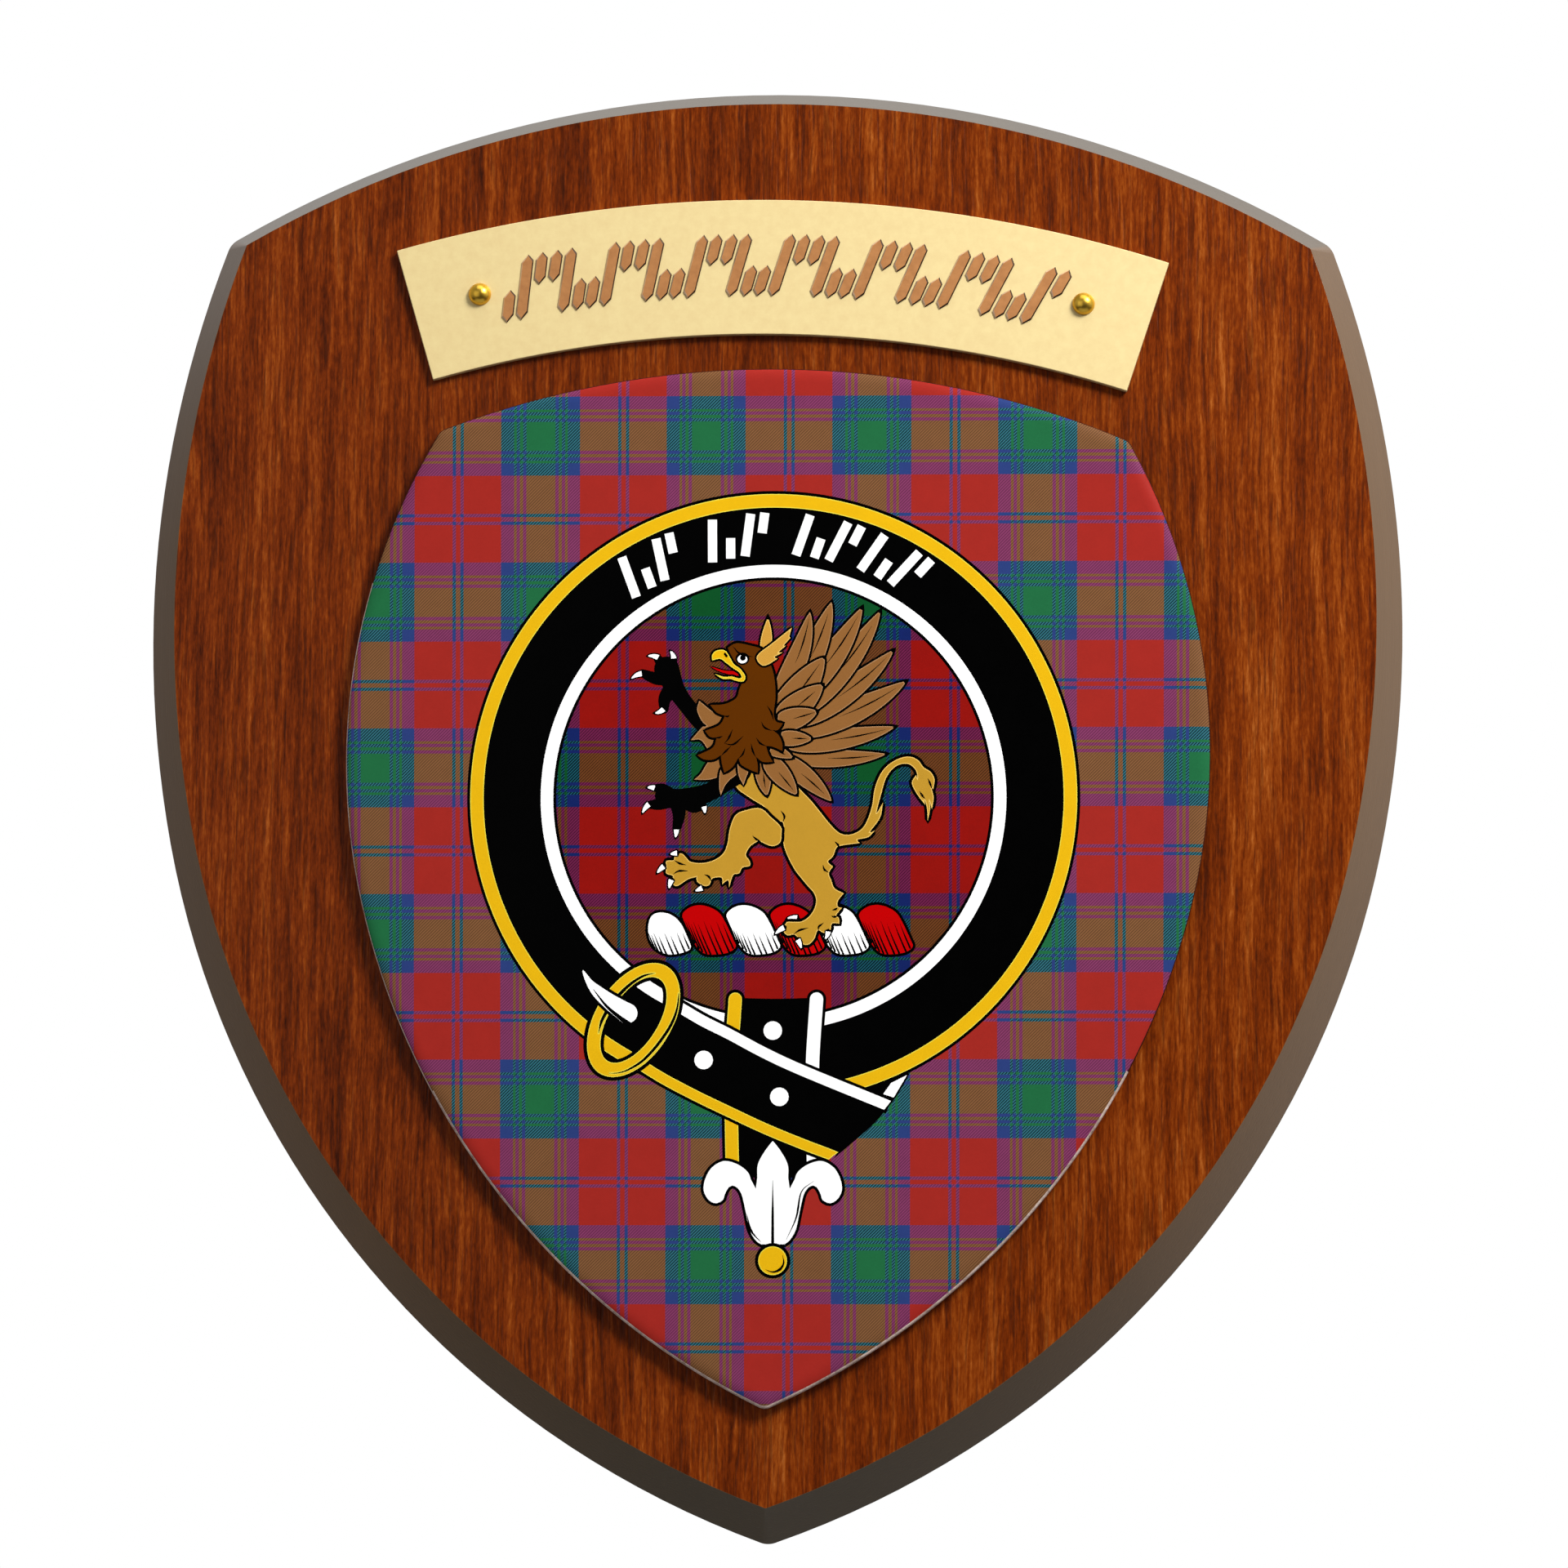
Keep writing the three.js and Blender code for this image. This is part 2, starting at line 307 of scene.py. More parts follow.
SETT = (  # thread counts of one repeat, from the start of a red block
    ("red", 46.1), ("blue", 4.4), ("red", 5.0), ("blue", 4.4), ("red", 46.0),
    ("blue", 15.4), ("green", 3.3), ("blue", 3.6), ("green", 3.9), ("blue", 3.9),
    ("green", 36.3),
    ("blue", 3.9), ("green", 3.9), ("blue", 3.6), ("green", 3.3), ("blue", 15.4),
)
SETT_START = (-0.0233, -0.0406)  # where a red block begins, across and up from the print's middle
DYES = {"red": srgb(152, 38, 31), "green": srgb(30, 99, 59), "blue": srgb(40, 58, 114)}
SAME_DYE = 0.01  # threads whose colours lie closer than this are one dye, and show no twill
RED_RANGE = (0.03, 0.12)  # redness of cloth without red threads and with them


def tartan_weave():
    """Tartan of one sett both ways, its mixed squares crossed by twill lines."""
    w, given, out = shader_group(
        "tartan_weave",
        {"Vector": "Vector", "Shade": "Float", "Depth": "Float"},
        {"Color": "Color"},
    )
    threads = sum(count for _, count in SETT)
    period = threads * THREAD
    stops = []
    at = 0.0
    for dye, count in SETT:
        stops.append((at / threads, DYES[dye]))
        at += count
    # The turned coordinates are those of the print's middle once its place has been taken off
    moved = w.place(given["Vector"], location=(-PRINT_MIDDLE[0], 0, -PRINT_MIDDLE[1]))
    x, _, z = w.split(w.place(moved, rotation=(0, PRINT_TURN, 0)))
    widening = w.math("MULTIPLY_ADD", z, PRINT_TAPER, 1.0)
    u = w.math("DIVIDE", w.math("MULTIPLY", x, PRINT_STRETCH[0]), widening)
    v = w.math("DIVIDE", w.math("MULTIPLY", z, PRINT_STRETCH[1]), widening)
    across = w.math("FRACT", w.math("DIVIDE", w.math("SUBTRACT", u, SETT_START[0]), period))
    down = w.math("FRACT", w.math("DIVIDE", w.math("SUBTRACT", SETT_START[1], v), period))
    warp = w.ramp(across, stops, "CONSTANT")
    weft = w.ramp(down, stops, "CONSTANT")
    cloth = w.mix(0.5, warp, weft)
    apart = w.add("ShaderNodeVectorMath", operation="DISTANCE")
    w.put(apart.inputs[0], warp)
    w.put(apart.inputs[1], weft)
    mixed = w.math("GREATER_THAN", apart.outputs["Value"], SAME_DYE)
    redness = w.split(cloth)[0]
    depth = w.math("MULTIPLY", w.stretch(redness, *RED_RANGE, *TWILL_DEPTHS), mixed)
    line = w.math("SINE", w.math("MULTIPLY", w.math("SUBTRACT", u, v), 2 * math.pi / TWILL_PITCH))
    lined = w.math("MULTIPLY_ADD", line, depth, 1.0)
    shaded = w.add("ShaderNodeHueSaturation")
    w.put(shaded.inputs["Color"], cloth)
    w.put(shaded.inputs["Value"], w.math("MULTIPLY", lined, given["Shade"]))
    deepened = w.add("ShaderNodeGamma")
    w.put(deepened.inputs["Color"], shaded.outputs[0])
    w.put(deepened.inputs["Gamma"], given["Depth"])
    w.put(out["Color"], deepened.outputs[0])
    return w.tree


WOOD = figured_wood()
PEBBLE = pebbled_sheet()
MOTTLE = metal_mottle()
TARTAN = tartan_weave()

# Materials

INK_GLOSS = 0.03  # the print hardly shines
INK_FADE = 0.93  # shade of the darker spots of an ink
CLOTH_FADE = (0.93, 1.04)  # shades of the darker and the lighter spots of the tartan
END_GRAIN_AND_SHADE = (0.6, 0.86)  # how far a bevel has to face up or down to be darker: partly end grain, partly painted shade


def tones(w, value, *colours):
    """Colours spread evenly over a value from 0 to 1."""
    return w.ramp(value, [(i / (len(colours) - 1), srgb(*colour)) for i, colour in enumerate(colours)])


def pored(w, wood, tone, share, dark):
    """Colour of wood, of which open pores take up to a share of a dark one."""
    return w.mix(w.math("MULTIPLY", wood["Pores"], share), tone, srgb(*dark))


def stained_face():
    """Red-brown stained front of the board under a thin lacquer."""
    made, w, shader, at = material("stained_face")
    wood = w.use(WOOD, Vector=at, Contrast=1.15)
    # Painted light: the tone grows lighter towards the right of the board, the side the key light stands on
    tone = w.ramp(
        w.math("MULTIPLY_ADD", w.split(at)[0], PAINTED_LIGHT_DRIFT, wood["Tone"]),
        (
            (0.0, srgb(46, 12, 0)),
            (0.3, srgb(84, 28, 0)),
            (0.55, srgb(111, 42, 2)),
            (0.8, srgb(137, 63, 12)),
            (1.0, srgb(160, 87, 32)),
        ),
    )
    colour = pored(w, wood, tone, 0.4, (46, 16, 2))
    dress(w, shader, colour, wood["Tone"], (0.34, 0.26), wood["Height"], depth=0.00002, gloss=0.1)
    return made


def stained_bevel():
    """Smoother, duller bevel: the grain hardly shows, and the bevels above and below are darker, partly from
    end grain and partly by painted shade.
    """
    made, w, shader, at = material("stained_bevel")
    wood = w.use(WOOD, Vector=at, Contrast=0.4)
    side = tones(w, wood["Tone"], (93, 66, 38), (105, 76, 44), (117, 86, 51))
    # Partly end grain, partly painted shade: the bevels that face up or down get darker colours
    end = tones(w, wood["Tone"], (60, 47, 24), (70, 54, 28), (80, 63, 35))
    facing_up = w.split(w.add("ShaderNodeTexCoord").outputs["Normal"])[2]
    end_grain_and_shade = w.stretch(w.math("ABSOLUTE", facing_up), *END_GRAIN_AND_SHADE)
    colour = w.mix(end_grain_and_shade, side, end)
    dress(w, shader, colour, wood["Tone"], (0.34, 0.28), wood["Height"], depth=0.000008, gloss=0.35)
    return made


def plain_back():
    """Back of the board: sanded, thinly stained wood without lacquer."""
    made, w, shader, at = material("plain_back")
    wood = w.use(WOOD, Vector=at, Contrast=1.2)
    tone = tones(w, wood["Tone"], (96, 58, 32), (134, 86, 50), (164, 112, 70))
    colour = pored(w, wood, tone, 0.5, (74, 44, 26))
    dress(w, shader, colour, wood["Tone"], (0.72, 0.6), wood["Height"], depth=0.00004)
    return made


def printed(name, colour):
    """One flat ink on the pebbled sheet."""
    made, w, shader, at = material(name)
    sheet = w.use(PEBBLE, Vector=at)
    darker = tuple(INK_FADE * channel for channel in colour[:3]) + (1.0,)
    colour = w.mix(sheet["Mottle"], darker, colour)
    dress(w, shader, colour, sheet["Mottle"], (0.34, 0.26), sheet["Height"], depth=0.000004, gloss=INK_GLOSS)
    return made


def tartan_print(name, shade, depth):
    """Tartan printed on the pebbled sheet; a greater depth makes its dark and mixed tones darker."""
    made, w, shader, at = material(name)
    sheet = w.use(PEBBLE, Vector=at)
    tone = w.stretch(sheet["Mottle"], 0.0, 1.0, *(fade * shade for fade in CLOTH_FADE))
    colour = w.use(TARTAN, Vector=at, Shade=tone, Depth=depth)["Color"]
    dress(w, shader, colour, sheet["Mottle"], (0.5, 0.4), sheet["Height"], depth=0.000006, gloss=INK_GLOSS)
    return made


def cut_edge():
    """Pale core of the sheet, bare where it is cut."""
    made, w, shader, at = material("cut_edge")
    sheet = w.use(PEBBLE, Vector=at)
    colour = w.mix(sheet["Mottle"], srgb(122, 94, 84), srgb(222, 202, 190))
    dress(w, shader, colour, sheet["Mottle"], (0.7, 0.55), sheet["Height"], depth=0.00001)
    return made


def metal(name, dark, light, roughness, depth, metallic=1.0):
    """Metal between two tones, with a faint mottle and hair scratches."""
    made, w, shader, at = material(name)
    face = w.use(MOTTLE, Vector=at)
    colour = w.mix(w.stretch(face["Cloud"], *NOISE_RANGE), srgb(*dark), srgb(*light))
    scratched = w.stretch(face["Scratch"], *NOISE_RANGE)
    dress(w, shader, colour, scratched, roughness, w.math("ADD", face["Cloud"], face["Scratch"]), depth)
    shader.inputs["Metallic"].default_value = metallic
    return made


MATERIALS = {
    "face": stained_face(),
    "bevel": stained_bevel(),
    "back": plain_back(),
    "tartan": tartan_print("tartan_print", 1.0, 1.0),
    "ground": tartan_print("tartan_ground", 1.17, 1.4),
    "core": cut_edge(),
    # Painted shade: a dark ink on the rim's cut edge where it is not bare, for the shaded gap beside the
    # board
    "dim": printed("dim_edge", srgb(58, 24, 16)),
    "black": printed("black_ink", srgb(1, 1, 1)),
    "white": printed("white_ink", srgb(250, 250, 250)),
    "gold": printed("gold_ink", srgb(222, 173, 16)),
    "bright": printed("bright_yellow_ink", srgb(226, 210, 70)),
    "red": printed("red_ink", srgb(184, 2, 4)),
    "mane": printed("mane_ink", srgb(90, 44, 2)),
    "wing": printed("wing_ink", srgb(140, 94, 49)),
    "hide": printed("hide_ink", srgb(184, 140, 44)),
    "ear": printed("ear_ink", srgb(200, 148, 58)),
    "pale_hide": printed("pale_hide_ink", srgb(226, 186, 96)),
    "pale_wing": printed("pale_wing_ink", srgb(166, 124, 84)),
    "brass": metal("satin_brass", (217, 194, 138), (222, 202, 145), (0.62, 0.58), 0.000002, 0.42),
    "pin": metal("bright_brass", (206, 160, 50), (224, 182, 70), (0.34, 0.28), 0.000002),
    "copper": metal("copper_face", (176, 118, 68), (192, 132, 78), (0.5, 0.42), 0.000003, 0.6),
    # Painted shade and painted highlight for the steep sides of the copper strokes
    "shade_side": metal("copper_toned", (50, 32, 18), (66, 44, 24), (0.6, 0.5), 0.000003, 0.6),
    "lit_side": metal("copper_worn", (214, 176, 142), (230, 198, 166), (0.4, 0.32), 0.000003, 0.6),
}

# Mesh helpers


def finish_piece(piece, node):
    """Applies the object's modifiers and puts it on the root in place of a node of the frame."""
    bpy.context.view_layer.update()
    applied = bpy.data.meshes.new_from_object(piece.evaluated_get(bpy.context.evaluated_depsgraph_get()))
    piece.modifiers.clear()
    piece.data = applied
    applied.name = piece.name
    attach(piece, "root")
    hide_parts(node)


def soften(piece, width, segments, sharper_than):
    """Rounds the edges sharper than an angle in degrees, and keeps the faces between them flat."""
    bevel = piece.modifiers.new("arrises", "BEVEL")
    bevel.width = width
    bevel.segments = segments
    bevel.limit_method = "ANGLE"
    bevel.angle_limit = math.radians(sharper_than)
    piece.modifiers.new("flat_faces", "WEIGHTED_NORMAL").keep_sharp = True
    return bevel


def new_object(name, mesh, *materials):
    """Object in the scene, its material slots filled by their keys."""
    made = bpy.data.objects.new(name, mesh)
    bpy.context.scene.collection.objects.link(made)
    for key in materials:
        mesh.materials.append(MATERIALS[key])
    return made


def mesh_of(bm, name):
    """Mesh made from a bmesh, which is freed."""
    mesh = bpy.data.meshes.new(name)
    bm.to_mesh(mesh)
    bm.free()
    return mesh


def ring_of(bm, points, depth):
    return [bm.verts.new((x, depth, z)) for x, z in points]


def band(bm, lower, upper):
    """Faces between two rings of as many points, in order round them."""
    pairs = list(zip(lower, upper))
    return [bm.faces.new((a[0], b[0], b[1], a[1])) for a, b in zip(pairs, pairs[1:] + pairs[:1])]


# Board

FLAT = 0.9  # faces turned this far to the front or the back are flat ones
SAME_LEVEL = 0.0001
KEYHOLE_REACH = 0.02  # faces nearer than this to the screw's seat are the keyhole's
FACE_SLOT, BEVEL_SLOT, BACK_SLOT = range(3)


def shield_board():
    """The board's own mesh with softened arrises: figured face, even bevel, plain back."""
    bm = bmesh.new()
    bm.from_mesh(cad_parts["shield_board"].data)
    bmesh.ops.remove_doubles(bm, verts=bm.verts, dist=1e-6)
    bmesh.ops.dissolve_limit(bm, angle_limit=math.radians(0.5), verts=bm.verts, edges=bm.edges)
    for face in bm.faces:
        face.smooth = True
        middle = face.calc_center_median()
        if face.normal.y < -FLAT and middle.y < BOARD_FRONT + SAME_LEVEL:
            face.material_index = FACE_SLOT
        elif face.normal.y > FLAT or math.hypot(middle.x, middle.z) < KEYHOLE_REACH:
            face.material_index = BACK_SLOT
        else:
            face.material_index = BEVEL_SLOT
    board = new_object("stained_board", mesh_of(bm, "stained_board"), "face", "bevel", "back")
    soften(board, ARRIS_ROUNDING, 3, 35).material = BEVEL_SLOT
    finish_piece(board, "shield_board")


# Drawing of the print, in millimetres about the ring's middle

CURVE_STEP = 0.32  # longest side of a curve's outline
OVAL_STEP = 0.416  # the same on ovals
LIMB_PLACES, LEAF_PLACES = 24, 30  # places at which their width is worked out
POINTED = 0.12  # strokes with a smaller half width at their end get no round cap
THINNEST = 0.01
LINE = 0.36  # the black line round each shape
BRIGHT_EDGE = 0.1  # the pale edge of shapes in some inks
PALE_EDGES = {"gold": "bright", "hide": "pale_hide", "ear": "pale_hide", "wing": "pale_wing"}


def through(points, closed=False):
    """Smooth curve through a few points."""
    fixed = [np.array(p, float) for p in points]
    count = len(fixed)
    spans = count if closed else count - 1
    curve = []
    for i in range(spans):
        if closed:
            a, b, c, d = (fixed[(i + k) % count] for k in (-1, 0, 1, 2))
        else:
            b, c = fixed[i], fixed[i + 1]
            a = fixed[i - 1] if i else 2 * b - c
            d = fixed[i + 2] if i + 2 < count else 2 * c - b
        steps = max(2, math.ceil(np.linalg.norm(c - b) / CURVE_STEP))
        for t in np.arange(steps) / steps:
            bend = (2 * a - 5 * b + 4 * c - d) * t**2 + (3 * b - a - 3 * c + d) * t**3
            curve.append(b + 0.5 * ((c - a) * t + bend))
    if not closed:
        curve.append(fixed[-1])
    return np.array(curve)


def polar(angle, radius=1.0):
    """Point at an angle in degrees, anticlockwise from the right."""
    return np.array([math.cos(math.radians(angle)), math.sin(math.radians(angle))]) * radius


def unit(rows):
    """Each row of an array brought to length one."""
    return rows / np.maximum(np.linalg.norm(rows, axis=1), 1e-6)[:, None]


def leftward(headings):
    """Each heading turned a quarter to the left."""
    return np.column_stack([-headings[:, 1], headings[:, 0]])


def oval(middle, half_width, half_height):
    steps = max(16, math.ceil(2 * math.pi * half_width / OVAL_STEP))
    turns = np.arange(steps) * 2 * math.pi / steps
    return np.column_stack([half_width * np.cos(turns), half_height * np.sin(turns)]) + middle


def circle(middle, radius):
    return oval(middle, radius, radius)


def swept(spine, halves):
    """Outline of a brush stroke along a spine, its half widths spread over the spine's length."""
    spine = np.asarray(spine, float)
    gaps = np.linalg.norm(np.diff(spine, axis=0), axis=1)
    share = np.concatenate([[0], np.cumsum(gaps)]) / gaps.sum()
    half = np.interp(share, np.linspace(0, 1, len(halves)), halves)
    heading = unit(np.gradient(spine, axis=0))
    aside = leftward(heading) * half[:, None]
    start = cap(spine[0], -heading[0], half[0])
    end = cap(spine[-1], heading[-1], half[-1])
    return np.concatenate([spine - aside, end, (spine + aside)[::-1], start])


def cap(middle, heading, half):
    """Round end of a stroke, without the two corners it springs from."""
    if half < POINTED:
        return np.empty((0, 2))
    steps = max(3, math.ceil(math.pi * half / CURVE_STEP))
    side = np.array([heading[1], -heading[0]])
    turns = np.arange(1, steps) * math.pi / steps
    return np.array([middle + half * (side * math.cos(t) + heading * math.sin(t)) for t in turns])


def limb(points, halves):
    """Limb through a few points, with its half width at each."""
    stops = through(list(enumerate(halves)))
    places = np.linspace(0, len(halves) - 1, LIMB_PLACES)
    return swept(through(points), np.interp(places, stops[:, 0], stops[:, 1]))


def bowed(root, tip, bend):
    """Spine from a root to a tip that turns by bend degrees on its way."""
    run, rise = np.subtract(tip, root)
    length = math.hypot(run, rise)
    angle = math.degrees(math.atan2(rise, run)) - bend / 2
    steps = max(6, math.ceil(length / CURVE_STEP))
    points = [np.array(root, float)]
    for i in range(steps):
        points.append(points[-1] + polar(angle + bend * (i + 0.5) / steps, length / steps))
    return np.array(points)


def leaf(root, tip, width, bend=0.0, fullness=(0.3, 0.8)):
    """Feather, ear or claw, pointed at its tip; the fullness says how fast it widens and narrows."""
    t = np.linspace(0, 1, LEAF_PLACES)
    widening, narrowing = fullness
    half = t**widening * (1 - t) ** narrowing
    return swept(bowed(root, tip, bend), np.maximum(half / half.max() * width / 2, THINNEST))


def anticlockwise(outline):
    x, z = outline[:, 0], outline[:, 1]
    area = np.sum(x * np.roll(z, -1) - np.roll(x, -1) * z)
    return outline if area > 0 else outline[::-1]


SHARPEST = 0.35  # corners sharper than this, as the cosine of half their turn, move no further
NEAREST = 0.94  # share of the line that has to stay between a moved point and the outline


def shrunk(outline, line):
    """The outline moved inwards by the width of a line, without the folds that sharp ends make."""
    outline = anticlockwise(np.asarray(outline, float))
    sides = np.roll(outline, -1, axis=0) - outline
    keep = np.linalg.norm(sides, axis=1) > 1e-6
    outline, sides = outline[keep], sides[keep]
    normals = leftward(unit(sides))
    corner = unit(normals + np.roll(normals, 1, axis=0))
    spread = np.maximum(np.sum(corner * normals, axis=1), SHARPEST)
    moved = outline + corner * (line / spread)[:, None]
    moved = moved[covers(outline, moved)]
    kept = [p for p in moved if gap_to(p, outline) > NEAREST * line]
    return np.array(kept) if len(kept) > 3 else None


def swollen(outline, line):
    """The outline moved outwards by the width of a line."""
    outline = anticlockwise(outline)
    return outline - leftward(unit(np.roll(outline, -1, axis=0) - np.roll(outline, 1, axis=0))) * line


def gap_to(point, outline):
    """Distance from a point to a closed outline."""
    ends = np.roll(outline, -1, axis=0)
    sides = ends - outline
    share = np.sum((point - outline) * sides, axis=1) / np.maximum(np.sum(sides * sides, axis=1), 1e-12)
    nearest = outline + sides * np.clip(share, 0, 1)[:, None]
    return np.min(np.linalg.norm(point - nearest, axis=1))


def covers(outline, points):
    """Which of the points a closed outline goes round, by its winding."""
    x, z = points[:, 0, None], points[:, 1, None]
    ends = np.roll(outline, -1, axis=0)
    run, rise = ends[:, 0] - outline[:, 0], ends[:, 1] - outline[:, 1]
    side = run * (z - outline[:, 1]) - (x - outline[:, 0]) * rise
    climbs = (outline[:, 1] <= z) & (ends[:, 1] > z) & (side > 0)
    falls = (outline[:, 1] > z) & (ends[:, 1] <= z) & (side < 0)
    return climbs.sum(axis=1) != falls.sum(axis=1)


class Print:
    """Inked shapes laid over one another on the sheet."""

    def __init__(self):
        self.shapes = []

    def lay(self, ink, outline):
        if outline is not None and len(outline) > 2:
            self.shapes.append((ink, anticlockwise(np.asarray(outline, float))))

    def fill(self, ink, outline):
        """Shape without a line, with the pale edge its ink may have."""
        if ink in PALE_EDGES and outline is not None:
            self.lay(PALE_EDGES[ink], outline)
            self.lay(ink, shrunk(outline, BRIGHT_EDGE))
        else:
            self.lay(ink, outline)

    def lined(self, ink, outline, line=LINE):
        """Shape with a black line inside its outline."""
        self.lay("black", outline)
        self.fill(ink, shrunk(outline, line))

    def rimmed(self, ink, outline, line=LINE):
        """Shape with a black line outside its outline."""
        self.lay("black", swollen(outline, line))
        self.fill(ink, outline)

    def hair(self, points, width=0.28, ends=(0.1, 1.0, 0.1)):
        """Thin black line, its ends drawn out."""
        self.lay("black", swept(through(points), [width / 2 * share for share in ends]))


# Belt, buckle and motto

RING_CENTRE = np.array([-0.13, 0.0])
GOLD_OUTER, GOLD_INNER = 36.24, 34.62
WHITE_OUTER, WHITE_INNER = 27.8, 26.3
MOTTO_RADIUS = 31.5
MOTTO_PITCH = 7.8  # degrees from one place to the next
MOTTO_GROUPS = (2, 2, 4)
MOTTO_SPACE = 4.2  # degrees between two groups
MOTTO_LONG = (-0.95, 0.0, 5.0)  # a stroke's place along the belt, its rise and its length
MOTTO_SHORT = (1.0, 1.3, 2.4)  # it rises and drops by turns
MOTTO_HALF_WIDTH = 0.55
MOTTO_LEAN = 0.1
EYELET = 1.12


def belt_ring(sheet):
    """Belt as discs laid on one another: gold outer edge, white inner edge, and the tartan it goes round."""
    for ink, radius in (
        ("black", GOLD_OUTER + LINE),
        ("bright", GOLD_OUTER),
        ("gold", GOLD_OUTER - BRIGHT_EDGE),
        ("bright", GOLD_INNER + BRIGHT_EDGE),
        ("black", GOLD_INNER),
        ("white", WHITE_OUTER),
        ("black", WHITE_INNER),
        ("ground", WHITE_INNER - LINE),
    ):
        sheet.lay(ink, circle(RING_CENTRE, radius))


def motto(sheet):
    """White strokes in three groups along the top of the belt, a long one and a short one to a place."""
    places = []
    at = 0.0
    for group in MOTTO_GROUPS:
        for _ in range(group):
            places.append(at)
            at += MOTTO_PITCH
        at += MOTTO_SPACE
    middle = (places[0] + places[-1]) / 2
    for index, place in enumerate(places):
        over, up = polar(middle - place), polar(middle - place + 90)
        for (along, rise, length), sign in ((MOTTO_LONG, 1), (MOTTO_SHORT, 1 if index % 2 else -1)):
            centre = RING_CENTRE + up * (MOTTO_RADIUS + sign * rise) + over * along
            reach = up * length / 2 + over * length * MOTTO_LEAN
            side = leftward(unit(reach[None]))[0] * MOTTO_HALF_WIDTH
            sheet.lay("white", centre + [-reach - side, reach - side, reach + side, side - reach])


TAB_MIDDLE = -0.12
TAB_HALF, TAB_SHOULDER, TAB_END = 5.65, -24.1, -45.3
TAB_TOP = ((TAB_HALF, -23.8), (0.3, -23.95), (-TAB_HALF, -23.8))
TAB_EDGING = 1.6
TAB_EDGING_SPINE = ((0.05, TAB_END), (-0.1, -38.0), (-0.12, -31.5), (0.34, -24.0))
TAB_EYELET = (-0.15, -27.75)


def hanging_tab(sheet):
    """Upright end of the belt behind the strap, edged in gold and white, with its eyelet."""
    back = [(-TAB_HALF, TAB_SHOULDER), (-TAB_HALF, TAB_END), (TAB_HALF, TAB_END), (TAB_HALF, TAB_SHOULDER)]
    sheet.lay("black", np.concatenate([back, through(TAB_TOP)[1:-1]]) + (TAB_MIDDLE, 0))
    for ink, side in (("gold", -1), ("white", 1)):
        across = TAB_MIDDLE + side * (TAB_HALF - TAB_EDGING / 2)
        spine = through(TAB_EDGING_SPINE) + (across, 0)
        sheet.lined(ink, swept(spine, [TAB_EDGING / 2 + LINE] * 2))
    sheet.lay("white", circle(TAB_EYELET, EYELET))


UPPER_EDGE = (
    (-12.0, -23.8), (-10.7, -24.56), (-8.14, -26.05), (-5.16, -27.54), (-1.37, -29.57), (1.88, -31.14),
    (6.0, -32.9), (13.98, -36.15),
)
LOWER_EDGE = (
    (-16.9, -31.9), (-15.86, -32.6), (-13.29, -34.17), (-9.5, -36.15), (-6.11, -37.78), (-1.37, -40.0),
    (3.24, -41.9), (6.54, -43.14),
)
STRAP_EYELETS = ((-8.4, -31.25), (0.65, -35.65))
STRAP_EDGING = 1.28
STRAP_BLACK = 1.65  # how far the black beside an edging reaches in
GOLD_CORNER = (7.7, -42.25)  # where the gold edging meets the fold
WHITE_CORNER = (13.17, -37.18)
FOLD = (
    (7.2, -43.0), (9.24, -41.24), (11.14, -39.61), (12.5, -38.26), (13.85, -36.64), (14.66, -35.56),
    (15.47, -34.2), (16.16, -32.98),
)
FOLD_FACE = ((13.98, -34.01), (15.88, -33.06), (14.3, -35.74), (13.04, -35.33))


def strap(sheet):
    """Strap that leaves the buckle, crosses the tab and folds back at its right end."""
    upper, lower = through(UPPER_EDGE), through(LOWER_EDGE)
    sheet.lay("black", np.concatenate([lower, upper[::-1]]))
    rim = [RING_CENTRE + polar(angle, GOLD_OUTER) for angle in range(-64, -73, -2)]
    sheet.lay("black", np.concatenate([through(FOLD), rim]))
    sheet.lay("white", FOLD_FACE)
    for ink, edge, side, corner in (("white", upper, -1, WHITE_CORNER), ("gold", lower, 1, GOLD_CORNER)):
        across = leftward(unit(np.gradient(edge, axis=0))) * side
        sheet.lay("black", np.concatenate([edge - across * LINE, (edge + across * STRAP_BLACK)[::-1]]))
        inner = (edge + across * STRAP_EDGING)[::-1]
        sheet.fill(ink, np.concatenate([edge, [corner], inner[2:]]))
    for eyelet in STRAP_EYELETS:
        sheet.lay("white", circle(eyelet, EYELET))


BUCKLE = np.array([-16.79, -26.47])
BUCKLE_TILT = 57.5
BUCKLE_OUTER, BUCKLE_INNER = (7.54, 4.52), (5.77, 2.9)
BUCKLE_LINE = 0.45
BUCKLE_STEPS = 40
GROOVES = (  # points, width and how the width runs along them
    (
        ((-11.36, -23.3), (-11.6, -25.2), (-12.23, -26.9), (-13.19, -28.46), (-14.41, -30.03),
         (-15.8, -31.42), (-17.37, -32.38), (-18.59, -32.78), (-19.72, -32.82)),
        0.36,
        (0.3, 1.0, 1.0, 0.8, 0.1),
    ),
    (
        ((-18.55, -23.5), (-17.54, -22.51), (-16.5, -21.71), (-15.45, -21.15), (-14.24, -20.89)),
        0.42,
        (1.0, 0.9, 0.8, 0.6, 0.1),
    ),
    (((-20.05, -25.5), (-20.64, -26.72), (-20.97, -28.06)), 0.42, (1.0, 0.8, 0.1)),
)
TONGUE = (
    (-22.85, -20.5), (-21.72, -21.76), (-20.5, -22.63), (-19.11, -23.5), (-17.72, -24.25), (-16.75, -24.75),
    (-16.32, -25.5), (-16.5, -26.3), (-17.2, -26.85), (-17.9, -26.9), (-19.11, -25.94), (-20.33, -24.89),
    (-21.72, -23.41), (-22.59, -21.74),
)


